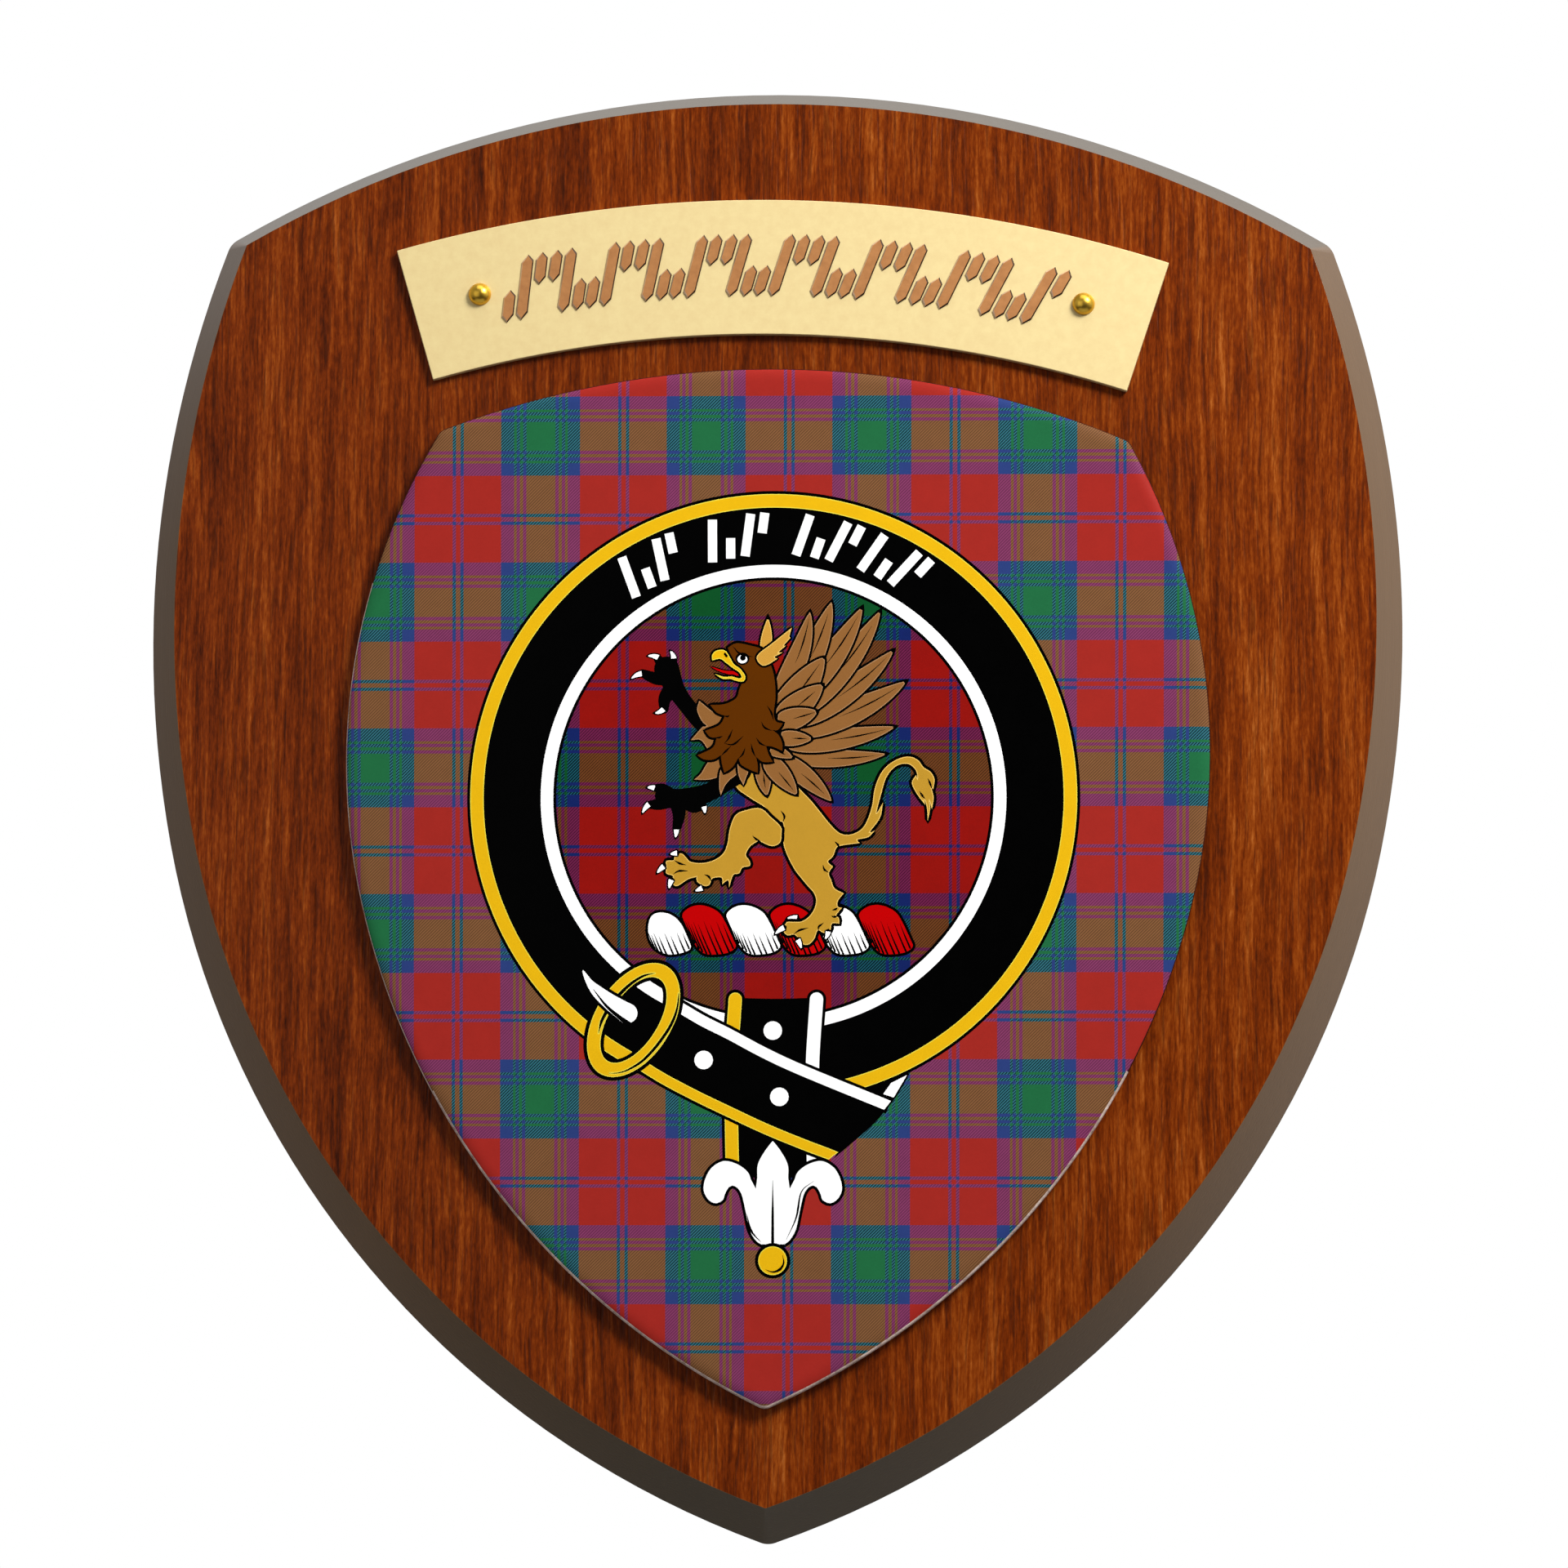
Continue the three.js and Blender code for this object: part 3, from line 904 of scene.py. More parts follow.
def buckle_band(sheet, ink, margin):
    """The buckle's oval band in two halves, wider than its gold by a margin."""
    along, over = polar(BUCKLE_TILT), polar(BUCKLE_TILT + 90)
    for first in (0.0, math.pi):
        rims = []
        turns = first + np.linspace(0, math.pi, BUCKLE_STEPS)
        for (long_half, short_half), grown in ((BUCKLE_OUTER, margin), (BUCKLE_INNER, -margin)):
            lengthwise = np.outer(np.cos(turns), along) * (long_half + grown)
            crosswise = np.outer(np.sin(turns), over) * (short_half + grown)
            rims.append(BUCKLE + lengthwise + crosswise)
        sheet.lay(ink, np.concatenate([rims[0], rims[1][::-1]]))


def buckle(sheet):
    """Oval buckle with its tongue, gold with dark grooves."""
    for ink, margin in (("black", BUCKLE_LINE), ("bright", 0.0), ("gold", -BRIGHT_EDGE)):
        buckle_band(sheet, ink, margin)
    for points, width, ends in GROOVES:
        sheet.lay("bright", swept(through(points), [width / 2 * share + BRIGHT_EDGE for share in ends]))
        sheet.hair(points, width, ends)
    sheet.rimmed("white", through(TONGUE, closed=True))
    shadow = ((-21.6, -22.8), (-20.1, -24.72), (-18.5, -26.12), (-17.3, -27.0))
    sheet.hair(shadow, 0.62, (0.1, 0.45, 0.7, 1.0))


CHAPE_BALL = np.array([TAB_MIDDLE, -55.2])
PETAL = ((0.0, -40.3), (1.3, -42.0), (2.15, -43.7), (2.2, -45.6))
SIDE_LOBE = (
    (2.2, -45.6), (2.7, -44.4), (4.1, -43.35), (5.9, -42.95), (7.5, -43.8), (8.4, -45.3), (8.6, -46.9),
    (7.9, -48.2), (6.8, -48.7), (5.7, -48.2), (5.3, -47.2), (4.8, -46.6), (4.1, -47.3), (3.6, -49.3),
    (3.1, -51.6), (2.3, -53.0), (1.5, -53.6),
)


def chape(sheet):
    """Three-lobed chape on the tab's end, with a gold ball under it."""
    half = np.concatenate([through(PETAL), through(SIDE_LOBE)[1:]])
    other = half[::-1][:-1] * (-1, 1)
    sheet.lined("white", np.concatenate([half, other]) + (TAB_MIDDLE, 0))
    sheet.hair([(TAB_MIDDLE, -45.6), (TAB_MIDDLE, -53.2)], 0.36, (0.1, 0.8, 1.0))
    sheet.hair([(4.78, -45.7), (3.3, -47.0), (2.7, -50.0), (1.5, -52.7)], 0.26)
    sheet.hair([(-3.22, -49.6), (-2.7, -51.6), (-1.5, -53.0)], 0.3)
    sheet.lined("gold", circle(CHAPE_BALL, 2.12), line=0.4)
    sheet.hair([CHAPE_BALL + polar(angle, 1.35) for angle in range(-130, 31, 40)], 0.34)


# Torse and beast

TORSE_TURNS = 6
TORSE_PITCH = 5.28
TORSE_START = np.array([-13.26, -15.65])
TURN = (
    (-3.0, 1.75), (-2.2, 2.55), (-1.05, 2.87), (0.2, 2.65), (1.4, 1.95), (2.15, 0.8), (2.68, -0.3),
    (3.15, -1.35), (3.4, -2.1), (2.6, -2.75), (1.2, -3.0), (-0.2, -2.95), (-1.05, -2.35), (-1.77, -1.35),
    (-2.2, -0.3), (-2.66, 0.7),
)
FIRST_TURN = (
    (-1.8, 0.2), (-1.45, 1.5), (-0.5, 2.0), (0.9, 1.75), (2.1, 0.7), (3.0, -1.2), (3.3, -2.2), (2.5, -2.75),
    (0.6, -3.0), (-0.9, -2.3), (-1.6, -1.2),
)
TURN_FOOT = ((-1.7, -1.4), (-1.0, -2.3), (-0.1, -2.9), (1.2, -2.95), (2.6, -2.7), (3.3, -2.05))
TORSE_LINE = 0.33
HATCH_LINES = 9
HATCH_RISE = (2.2, 3.6)  # of white turns and of red ones
HATCH_SWELL = 0.28  # by how much of its rise the middle line stands above the first
HATCH_STEP = 0.3  # every second line rises by this much more
HATCH_PATH = ((0.0, 0.0), (-0.22, 0.5), (-0.42, 1.0))  # in shares of the rise


def torse(sheet):
    """Twisted roll of turns, white and red by turns, hatched from below."""
    middles = [TORSE_START + (turn * TORSE_PITCH, 0.0) for turn in range(TORSE_TURNS)]
    outlines = [through(FIRST_TURN if turn == 0 else TURN, closed=True) for turn in range(TORSE_TURNS)]
    for middle, outline in zip(middles, outlines):
        sheet.lay("black", swollen(outline, TORSE_LINE) + middle)
    feet = through(TURN_FOOT)
    for turn, (middle, outline) in enumerate(zip(middles, outlines)):
        sheet.lay("red" if turn % 2 else "white", outline + middle)
        for line in range(HATCH_LINES):
            foot = middle + feet[round((line + 0.5) / HATCH_LINES * (len(feet) - 1))]
            swell = 1 - HATCH_SWELL * (1 - math.sin(math.pi * line / HATCH_LINES))
            rise = HATCH_RISE[turn % 2] * swell + HATCH_STEP * (line % 2)
            sheet.hair(foot + np.multiply(HATCH_PATH, rise), 0.24, (1.0, 0.7, 0.1))


TIP = 1  # marks a point where an outline turns sharply
BEAST_LINE = 0.27  # line round the beast's feathers
QUILL = (0.4, 0.9)  # from where to where a feather's quill shows, in shares of its length


def cornered(points):
    """Closed outline, smooth but for its sharp tips."""
    tips = [i for i, point in enumerate(points) if len(point) > 2]
    pieces = []
    for start, end in zip(tips, tips[1:] + [tips[0] + len(points)]):
        span = [points[i % len(points)][:2] for i in range(start, end + 1)]
        pieces.append(through(span)[:-1])
    return np.concatenate(pieces)


CLAW_WIDTH = 0.95
CLAW_FULLNESS = (0.12, 0.6)
CLAW_LINE = 0.16


def claws(sheet, places):
    """White claws, each from its root to its tip with its bend."""
    for root, tip, bend in places:
        sheet.lined("white", leaf(root, tip, CLAW_WIDTH, bend, CLAW_FULLNESS), line=CLAW_LINE)


FLIGHT_FEATHERS = (  # root, tip, width and bend, from the lowest up
    ((1.4, 5.1), (13.9, 5.3), 2.7, 18),
    ((1.0, 6.6), (14.9, 8.6), 3.2, 18),
    ((1.6, 8.0), (16.2, 14.2), 3.7, 26),
    ((1.8, 9.0), (14.6, 18.0), 3.6, 26),
    ((2.0, 9.8), (12.9, 22.8), 3.7, 26),
    ((1.2, 11.0), (10.7, 23.2), 3.8, 26),
    ((1.8, 12.4), (6.9, 23.8), 3.5, 20),
    ((0.3, 12.2), (4.3, 22.7), 3.1, 28),
)
LOW_FEATHERS = (
    ((0.4, 4.9), (7.1, -0.7), 2.9, -14),
    ((-1.4, 5.2), (-0.8, -0.1), 2.5, 16),
    ((-1.2, 5.0), (2.9, 0.1), 2.9, -4),
)
COVERTS = (
    ((0.1, 8.8), (6.1, 17.0), 4.4, 2),
    ((0.3, 9.0), (6.0, 13.7), 3.7, 4),
    ((0.1, 8.9), (5.4, 10.4), 3.1, 6),
    ((0.3, 7.1), (4.8, 7.0), 2.4, -4),
    ((-1.0, 5.9), (2.5, 4.6), 1.9, -16),
)
WING_HEART = (  # the dark ground between the feathers
    (0.3, 13.2), (4.4, 15.6), (7.6, 16.6), (9.4, 13.6), (9.6, 9.4), (7.4, 5.4), (2.4, 5.0), (0.3, 7.4),
)


def wing(sheet):
    """Spread wing: a fan of flight feathers, each over the one below it, with short ones over their roots."""
    sheet.lay("black", through(WING_HEART, closed=True))
    for row in (FLIGHT_FEATHERS, COVERTS):
        for root, tip, width, bend in row:
            feather(sheet, root, tip, width, bend)


def feather(sheet, root, tip, width, bend, fullness=(0.34, 0.68)):
    """One feather with the line of its quill."""
    sheet.lined("wing", leaf(root, tip, width, bend, fullness), line=BEAST_LINE)
    spine = bowed(root, tip, bend)
    start, end = (int(share * len(spine)) for share in QUILL)
    sheet.hair(spine[start:end:3], 0.2)


BODY = (
    (-4.8, 2.3, TIP), (-4.4, 1.1), (-2.6, -0.2), (-1.2, -1.1), (-0.5, -2.2), (0.3, -2.8), (1.0, -2.9),
    (1.1, -4.0), (1.05, -5.2), (1.4, -6.5), (2.4, -8.5), (3.9, -10.4), (4.7, -11.3), (5.0, -12.2),
    (4.8, -13.2), (4.2, -14.1), (3.2, -14.75), (1.5, -14.8), (1.3, -15.4), (1.15, -16.0), (1.6, -16.4),
    (2.4, -16.3), (2.9, -16.8), (3.3, -17.4), (4.1, -17.5), (4.8, -16.8), (5.2, -15.8), (5.9, -16.1),
    (6.7, -15.8), (6.9, -15.0), (7.8, -15.0, TIP), (7.7, -14.3), (7.4, -14.0), (8.1, -13.1, TIP),
    (7.6, -13.0), (7.6, -12.3), (8.3, -11.4, TIP), (7.2, -10.8), (6.8, -9.8), (6.5, -9.0), (7.0, -8.2, TIP),
    (6.4, -7.6), (7.0, -7.0), (7.4, -6.0), (8.0, -5.7), (10.2, -5.4, TIP), (9.9, -5.0), (11.2, -4.7),
    (12.0, -3.9, TIP), (11.4, -4.1), (12.6, -2.4), (12.95, -0.6, TIP), (12.2, -1.8), (12.7, 0.3),
    (13.4, 2.5), (14.6, 3.8), (16.0, 4.0), (16.9, 3.2), (17.05, 2.3), (16.9, 2.7, TIP), (16.4, 1.8),
    (16.9, 0.6), (18.0, -0.9, TIP), (17.9, -0.2), (18.2, -1.2), (18.3, -2.8, TIP), (18.6, -1.2),
    (18.5, -0.4), (18.8, -1.4, TIP), (19.0, 0.0), (18.75, 1.1), (18.95, 1.0, TIP), (19.1, 2.2), (18.6, 3.1),
    (17.8, 3.6), (17.1, 4.5), (15.9, 4.9), (14.3, 4.4), (12.9, 3.2), (12.0, 1.2), (11.6, -1.2),
    (10.7, -3.4), (9.4, -4.3), (8.0, -4.3), (6.7, -3.2), (4.6, -0.6), (2.4, 1.8), (0.8, 4.4),
)
LIFTED_LEG = (
    (-0.5, -2.2), (0.75, -3.4), (0.85, -4.2), (0.7, -5.3), (-0.3, -5.75), (-1.9, -5.1, TIP), (-2.9, -5.8),
    (-3.4, -6.8), (-3.0, -7.4), (-2.9, -8.1), (-3.8, -8.3), (-4.2, -9.0), (-4.9, -9.2), (-5.4, -10.7, TIP),
    (-5.5, -9.8), (-6.2, -10.3, TIP), (-6.3, -9.5), (-7.4, -9.6), (-7.7, -10.3), (-8.3, -10.5),
    (-9.2, -10.0), (-9.3, -9.4, TIP), (-10.3, -9.7), (-11.6, -10.5), (-12.2, -10.1), (-12.1, -9.3),
    (-12.9, -9.0), (-12.9, -8.2), (-12.9, -7.5), (-12.0, -7.4), (-11.9, -6.9), (-11.1, -6.6), (-10.5, -7.1),
    (-10.0, -7.6), (-8.6, -7.75), (-7.2, -7.4), (-6.1, -6.6), (-5.6, -5.4), (-5.3, -3.6), (-4.6, -2.0),
    (-3.2, -1.4), (-2.0, -1.2), (-1.2, -1.5),
)
HAIR_LINES = (
    ((0.75, -1.5), (1.2, -2.2), (1.0, -2.9)),
    ((-12.0, -7.4), (-11.3, -7.8), (-10.5, -8.0)),
    ((-12.1, -9.1), (-11.4, -8.7), (-10.3, -8.7)),
    ((-8.4, -9.1), (-7.8, -9.4), (-7.5, -10.0)),
    ((-2.6, -4.5), (-2.2, -4.9), (-1.6, -5.2)),
    ((2.3, -16.3), (3.0, -15.8), (4.1, -15.5)),
    ((5.3, -15.9), (5.3, -15.4), (5.9, -14.9)),
    ((7.6, -13.1), (7.3, -13.3), (6.9, -13.4)),
    ((7.6, -14.1), (7.2, -14.2), (6.8, -14.1)),
    ((5.8, -8.0), (6.0, -8.6), (6.5, -8.9)),
    ((7.2, -5.2), (7.6, -5.6), (7.8, -6.0)),
    ((17.3, 0.8), (17.6, 0.3), (18.0, -0.2)),
    ((18.3, 2.3), (18.6, 1.6), (18.8, 1.0)),
)


REAR_CLAW = ((3.1, -14.4), (1.2, -14.5), 40)  # root, tip and bend
FRONT_CLAWS = (
    ((1.5, -15.3), (-0.1, -16.5), 30),
    ((2.6, -16.6), (3.3, -18.3), -30),
    ((6.5, -15.6), (5.9, -17.1), -40),
    ((-11.3, -6.55), (-12.7, -6.8), 20),
    ((-12.9, -7.9), (-14.2, -9.2), 20),
    ((-12.15, -9.4), (-12.6, -11.1), 20),
    ((-8.3, -10.6), (-9.7, -11.2), 0),
)


def lion_half(sheet):
    """Hind part of the beast, one leg on the roll and one lifted, with its tail."""
    claws(sheet, [REAR_CLAW])
    sheet.rimmed("hide", cornered(BODY))
    sheet.rimmed("hide", cornered(LIFTED_LEG))
    for points in HAIR_LINES:
        sheet.hair(points, 0.3)
    claws(sheet, FRONT_CLAWS)


BREAST = (
    ((-9.0, 11.6, TIP), (-9.25, 10.5), (-8.7, 9.2), (-8.1, 8.6), (-8.6, 8.5, TIP), (-9.4, 7.6),
     (-10.0, 6.9, TIP), (-8.8, 6.9), (-7.9, 5.7, TIP), (-6.0, 6.0), (-5.6, 9.7), (-7.2, 10.2)),
    ((-9.6, 2.2, TIP), (-8.8, 2.9), (-7.8, 4.4), (-6.0, 5.4), (-5.9, 4.0), (-6.5, 2.7), (-7.8, 2.2)),
    ((-6.4, 0.3, TIP), (-6.6, 1.4), (-6.4, 3.4), (-5.0, 4.6), (-4.0, 4.8), (-4.4, 3.0), (-5.4, 2.1),
     (-6.0, 1.3)),
    ((-3.7, 1.5, TIP), (-4.3, 2.8), (-4.3, 4.6), (-3.0, 4.2), (-3.1, 3.2), (-3.4, 2.4)),
)
MANE = (
    (-7.7, 11.1, TIP), (-6.9, 10.2), (-5.9, 9.8, TIP), (-6.6, 8.7), (-8.3, 8.0, TIP), (-7.7, 7.3),
    (-6.9, 7.2, TIP), (-7.4, 6.0), (-9.2, 5.1, TIP), (-8.4, 4.6), (-7.3, 4.6), (-6.4, 5.1, TIP),
    (-6.3, 4.2), (-6.0, 3.0, TIP), (-5.0, 3.7), (-4.3, 4.8, TIP), (-4.0, 4.0), (-3.0, 3.4),
    (-2.0, 3.0, TIP), (-2.0, 3.9), (-2.2, 4.9, TIP), (-1.4, 4.3), (-0.2, 4.3, TIP), (-0.7, 5.2),
    (-1.0, 6.2, TIP), (-0.2, 6.1), (0.95, 5.6, TIP), (0.9, 6.6), (0.4, 7.6), (-0.3, 8.1, TIP), (0.4, 8.1),
    (1.0, 8.9, TIP), (0.2, 9.1), (-0.1, 10.0), (0.1, 12.0), (0.0, 14.0), (-0.4, 15.7), (-1.4, 17.6),
    (-3.0, 18.2), (-4.6, 18.45), (-5.6, 17.9, TIP), (-5.0, 16.6), (-3.8, 15.2), (-3.9, 13.8), (-4.2, 13.0),
    (-4.6, 11.9), (-6.0, 11.2),
)
MANE_LINES = (
    ((-5.0, 8.2), (-5.5, 7.1), (-6.0, 6.5)),
    ((-6.0, 6.5), (-4.9, 6.4), (-3.7, 7.4)),
    ((-6.2, 7.4), (-6.6, 7.2), (-7.1, 7.2)),
    ((-5.2, 6.2), (-5.8, 5.6), (-6.4, 5.0)),
    ((-3.5, 6.0), (-3.8, 5.2), (-4.3, 4.7)),
    ((-2.8, 6.5), (-2.6, 5.6), (-2.2, 4.8)),
    ((-2.2, 7.2), (-1.7, 6.5), (-0.9, 6.15)),
    ((-1.6, 9.1), (-1.2, 8.4), (-0.3, 8.0)),
    ((-0.9, 11.0), (-0.4, 10.2), (-0.1, 9.2)),
    ((-6.0, 9.8), (-5.6, 9.7), (-5.4, 9.9)),
)
FORELEGS = (  # spine and half widths of the leg and of each toe
    (((-5.0, 6.4), (-8.8, 9.2), (-11.6, 12.6), (-12.9, 15.4)), (1.6, 1.15, 1.0, 1.5)),
    (((-12.6, 15.0), (-12.4, 15.8), (-12.1, 16.7)), (0.9, 0.7, 0.5)),
    (((-13.0, 15.2), (-13.5, 16.0), (-14.0, 16.7)), (0.9, 0.7, 0.5)),
    (((-12.6, 14.3), (-14.2, 14.3), (-15.8, 14.9)), (0.9, 0.75, 0.5)),
    (((-12.2, 13.0), (-13.1, 11.9), (-13.2, 10.6)), (1.1, 0.8, 0.55)),
    (((-4.4, 3.4), (-7.4, 0.9), (-10.6, 0.0), (-13.4, 0.3)), (1.7, 1.1, 1.2, 0.9)),
    (((-12.4, 0.3), (-13.4, 1.1), (-14.3, 1.2)), (0.9, 0.7, 0.45)),
    (((-12.6, -0.2), (-13.8, -0.7), (-14.9, -0.8)), (1.0, 0.75, 0.5)),
    (((-11.6, -0.4), (-11.4, -2.0), (-11.7, -3.8)), (1.0, 0.75, 0.5)),
    (((-10.6, -0.4), (-9.6, -1.1), (-8.5, -0.9)), (0.9, 0.7, 0.45)),
)
TALONS = (
    ((-12.0, 16.3), (-12.7, 17.8), 50),
    ((-13.6, 16.6), (-15.5, 16.9), 50),
    ((-15.5, 14.9), (-17.4, 14.0), 50),
    ((-13.0, 10.9), (-14.7, 10.1), -60),
    ((-14.0, 1.1), (-15.5, 1.2), 40),
    ((-14.7, -0.5), (-15.9, -2.1), 40),
    ((-11.7, -3.4), (-11.9, -5.0), -20),
    ((-8.5, -0.7), (-8.3, -2.1), -20),
)


def eagle_half(sheet):
    """Fore part: black forelegs, breast feathers, maned neck, head with open beak."""
    for spine, halves in FORELEGS:
        sheet.lay("black", limb(spine, halves))
    claws(sheet, TALONS)
    for outline in BREAST:
        sheet.rimmed("wing", cornered(outline), line=BEAST_LINE)
    for root, tip, width, bend in LOW_FEATHERS:
        feather(sheet, root, tip, width, bend, (0.4, 0.7))
    feather(sheet, *COVERTS[-1])
    sheet.lined("ear", leaf((-1.2, 17.3), (-0.8, 22.0), 1.9, 8), line=BEAST_LINE)
    sheet.rimmed("mane", cornered(MANE), line=0.3)
    for points in MANE_LINES:
        sheet.hair(points, 0.26)
    head(sheet)


BEAK = (
    (-7.45, 16.4, TIP), (-7.5, 17.0), (-7.1, 17.5), (-6.4, 17.7), (-5.8, 17.5), (-5.3, 16.7),
    (-4.85, 15.95), (-4.1, 15.4), (-3.5, 14.5), (-3.7, 13.9), (-4.5, 13.95), (-5.3, 14.2), (-6.2, 14.2),
    (-7.15, 14.8, TIP), (-6.0, 14.45), (-5.1, 14.5), (-4.3, 14.25), (-3.95, 14.4), (-4.2, 14.95),
    (-5.0, 15.5), (-5.8, 16.1), (-6.5, 16.6),
)
BEAST_TONGUE = ((-7.7, 15.7, TIP), (-6.0, 15.2), (-4.7, 15.1), (-4.1, 14.6), (-5.2, 14.7), (-6.6, 15.1))
EAR = (
    (-2.15, 16.6), (-1.6, 15.85), (-0.9, 15.85), (0.35, 16.6, TIP), (0.0, 16.8), (0.95, 17.35, TIP),
    (0.5, 17.4), (1.35, 18.15, TIP), (1.1, 18.2), (1.9, 19.1, TIP), (1.75, 19.3), (2.05, 20.3, TIP),
    (0.9, 19.4), (-0.6, 18.2), (-1.8, 17.3),
)


EYE = np.array([-3.85, 16.6])


def head(sheet):
    """Beak, tongue, ear and eye of the eagle's head looking left."""
    sheet.rimmed("red", cornered(BEAST_TONGUE), line=0.14)
    sheet.rimmed("gold", cornered(BEAK), line=0.26)
    sheet.hair([(-5.95, 17.2), (-5.75, 16.9)], 0.3, (1.0, 1.0))
    sheet.rimmed("ear", cornered(EAR), line=0.25)
    sheet.lay("black", oval(EYE, 0.85, 0.75))
    sheet.lay("white", oval(EYE + (0.0, -0.05), 0.6, 0.5))
    sheet.lay("black", circle(EYE + (0.05, 0.1), 0.34))
    sheet.hair([(-5.0, 18.1), (-4.3, 17.3), (-3.4, 16.95), (-2.6, 16.85)], 0.3)


def crest():
    """The whole badge."""
    sheet = Print()
    belt_ring(sheet)
    motto(sheet)
    wing(sheet)
    torse(sheet)
    lion_half(sheet)
    eagle_half(sheet)
    hanging_tab(sheet)
    chape(sheet)
    strap(sheet)
    buckle(sheet)
    return sheet.shapes


# Panel


def on_panel(points):
    """Print points, in millimetres about the print's middle, as x and z on the panel."""
    across, up = np.asarray(points, float).T * MM
    level_z = up / (PRINT_STRETCH[1] - PRINT_TAPER * up)
    level_x = across * (1 + PRINT_TAPER * level_z) / PRINT_STRETCH[0]
    cosine, sine = math.cos(PRINT_TURN), math.sin(PRINT_TURN)
    return np.column_stack([level_x, level_z]) @ [[cosine, sine], [-sine, cosine]] + PRINT_MIDDLE


def level_outline(node, depth):
    """Points of a node's mesh at one depth, in order round it, as x and z."""
    found = {}
    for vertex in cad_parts[node].data.vertices:
        if abs(vertex.co.y - depth) < 1e-6:
            found[(round(vertex.co.x, 7), round(vertex.co.z, 7))] = None
    points = np.array(list(found))
    about = points - points.mean(axis=0)
    return points[np.argsort(np.arctan2(about[:, 1], about[:, 0]))]


INKS = (
    "tartan", "core", "ground", "black", "white", "gold", "bright", "red", "mane",
    "wing", "pale_wing", "hide", "pale_hide", "ear", "dim",
)


def rim_ink(outward, level):
    """Ink of a face of the rim: tartan on top, and below it the cut edge, bare towards the left and below,
    and dark with painted shade on the other sides.
    """
    low = outward[1] < -BARE_HEIGHT
    if level >= (LOW_EDGE_LEVELS if low else EDGE_LEVELS):
        return "tartan"
    bare = low or (outward[0] < 0 and outward[1] < BARE_HEIGHT)
    return "core" if bare else "dim"


def panel():
    """Printed sheet on its board: inked front, rolled rim, bare cut edge."""
    foot = level_outline("tartan_panel", BOARD_FRONT)
    front = level_outline("tartan_panel", PANEL_FRONT)
    if len(foot) != len(front):
        raise ValueError("the panel's rim has lost its pairs of points")
    bm = bmesh.new()
    rings = [ring_of(bm, foot, BOARD_FRONT), ring_of(bm, foot, PANEL_FRONT + RIM_DROP)]
    for step in range(1, RIM_STEPS + 1):
        roll = step / RIM_STEPS * math.pi / 2
        points = foot + (front - foot) * (1 - math.cos(roll))
        rings.append(ring_of(bm, points, PANEL_FRONT + RIM_DROP * (1 - math.sin(roll))))
    outward = foot - foot.mean(axis=0)
    for level, (lower, upper) in enumerate(zip(rings, rings[1:])):
        for face, direction in zip(band(bm, lower, upper), outward):
            face.smooth = level > 0
            face.material_index = INKS.index(rim_ink(direction, level))
    back = bm.faces.new(rings[0][::-1])
    back.material_index = INKS.index("core")
    ink_front(bm, front)
    bmesh.ops.remove_doubles(bm, verts=bm.verts, dist=2e-7)
    made = new_object("printed_panel", mesh_of(bm, "printed_panel"), *INKS)
    finish_piece(made, "tartan_panel")


def cut_flat(outlines):
    """Triangles of the plane cut along every outline, and for each the last outline that covers it."""
    points, edges = [], []
    for outline in outlines:
        start, count = len(points), len(outline)
        points.extend(Vector(p) for p in outline)
        edges.extend((start + i, start + (i + 1) % count) for i in range(count))
    flat, _, cells, _, _, _ = delaunay_2d_cdt(points, edges, [], 0, 1e-4, False)
    places = np.array(flat)
    middles = places[np.array(cells)].mean(axis=1)
    tops = np.full(len(cells), -1)
    for index, outline in enumerate(outlines):
        low, high = outline.min(axis=0), outline.max(axis=0)
        near = np.flatnonzero(((middles >= low) & (middles <= high)).all(axis=1))
        tops[near[covers(outline, middles[near])]] = index
    return places, cells, tops


def ink_front(bm, front):
    """Flat front of the panel, cut along the outline of every inked shape."""
    shapes = crest()
    outlines = [front / MM] + [on_panel(outline) / MM for _, outline in shapes]
    tops = ["tartan"] + [ink for ink, _ in shapes]
    places, cells, owners = cut_flat(outlines)
    verts = ring_of(bm, places * MM, PANEL_FRONT)
    for cell, owner in zip(cells, owners):
        if owner < 0:
            continue
        face = bm.faces.new([verts[i] for i in cell])
        face.normal_update()
        if face.normal.y > 0:
            face.normal_flip()
        face.material_index = INKS.index(tops[owner])


# Name plate


def on_plate(angle, radius):
    """Point of the plate at an angle from its middle, as x and z."""
    turned = angle + PLATE_TURN
    return (PLATE_CENTRE[0] + radius * math.sin(turned), PLATE_CENTRE[1] + radius * math.cos(turned))


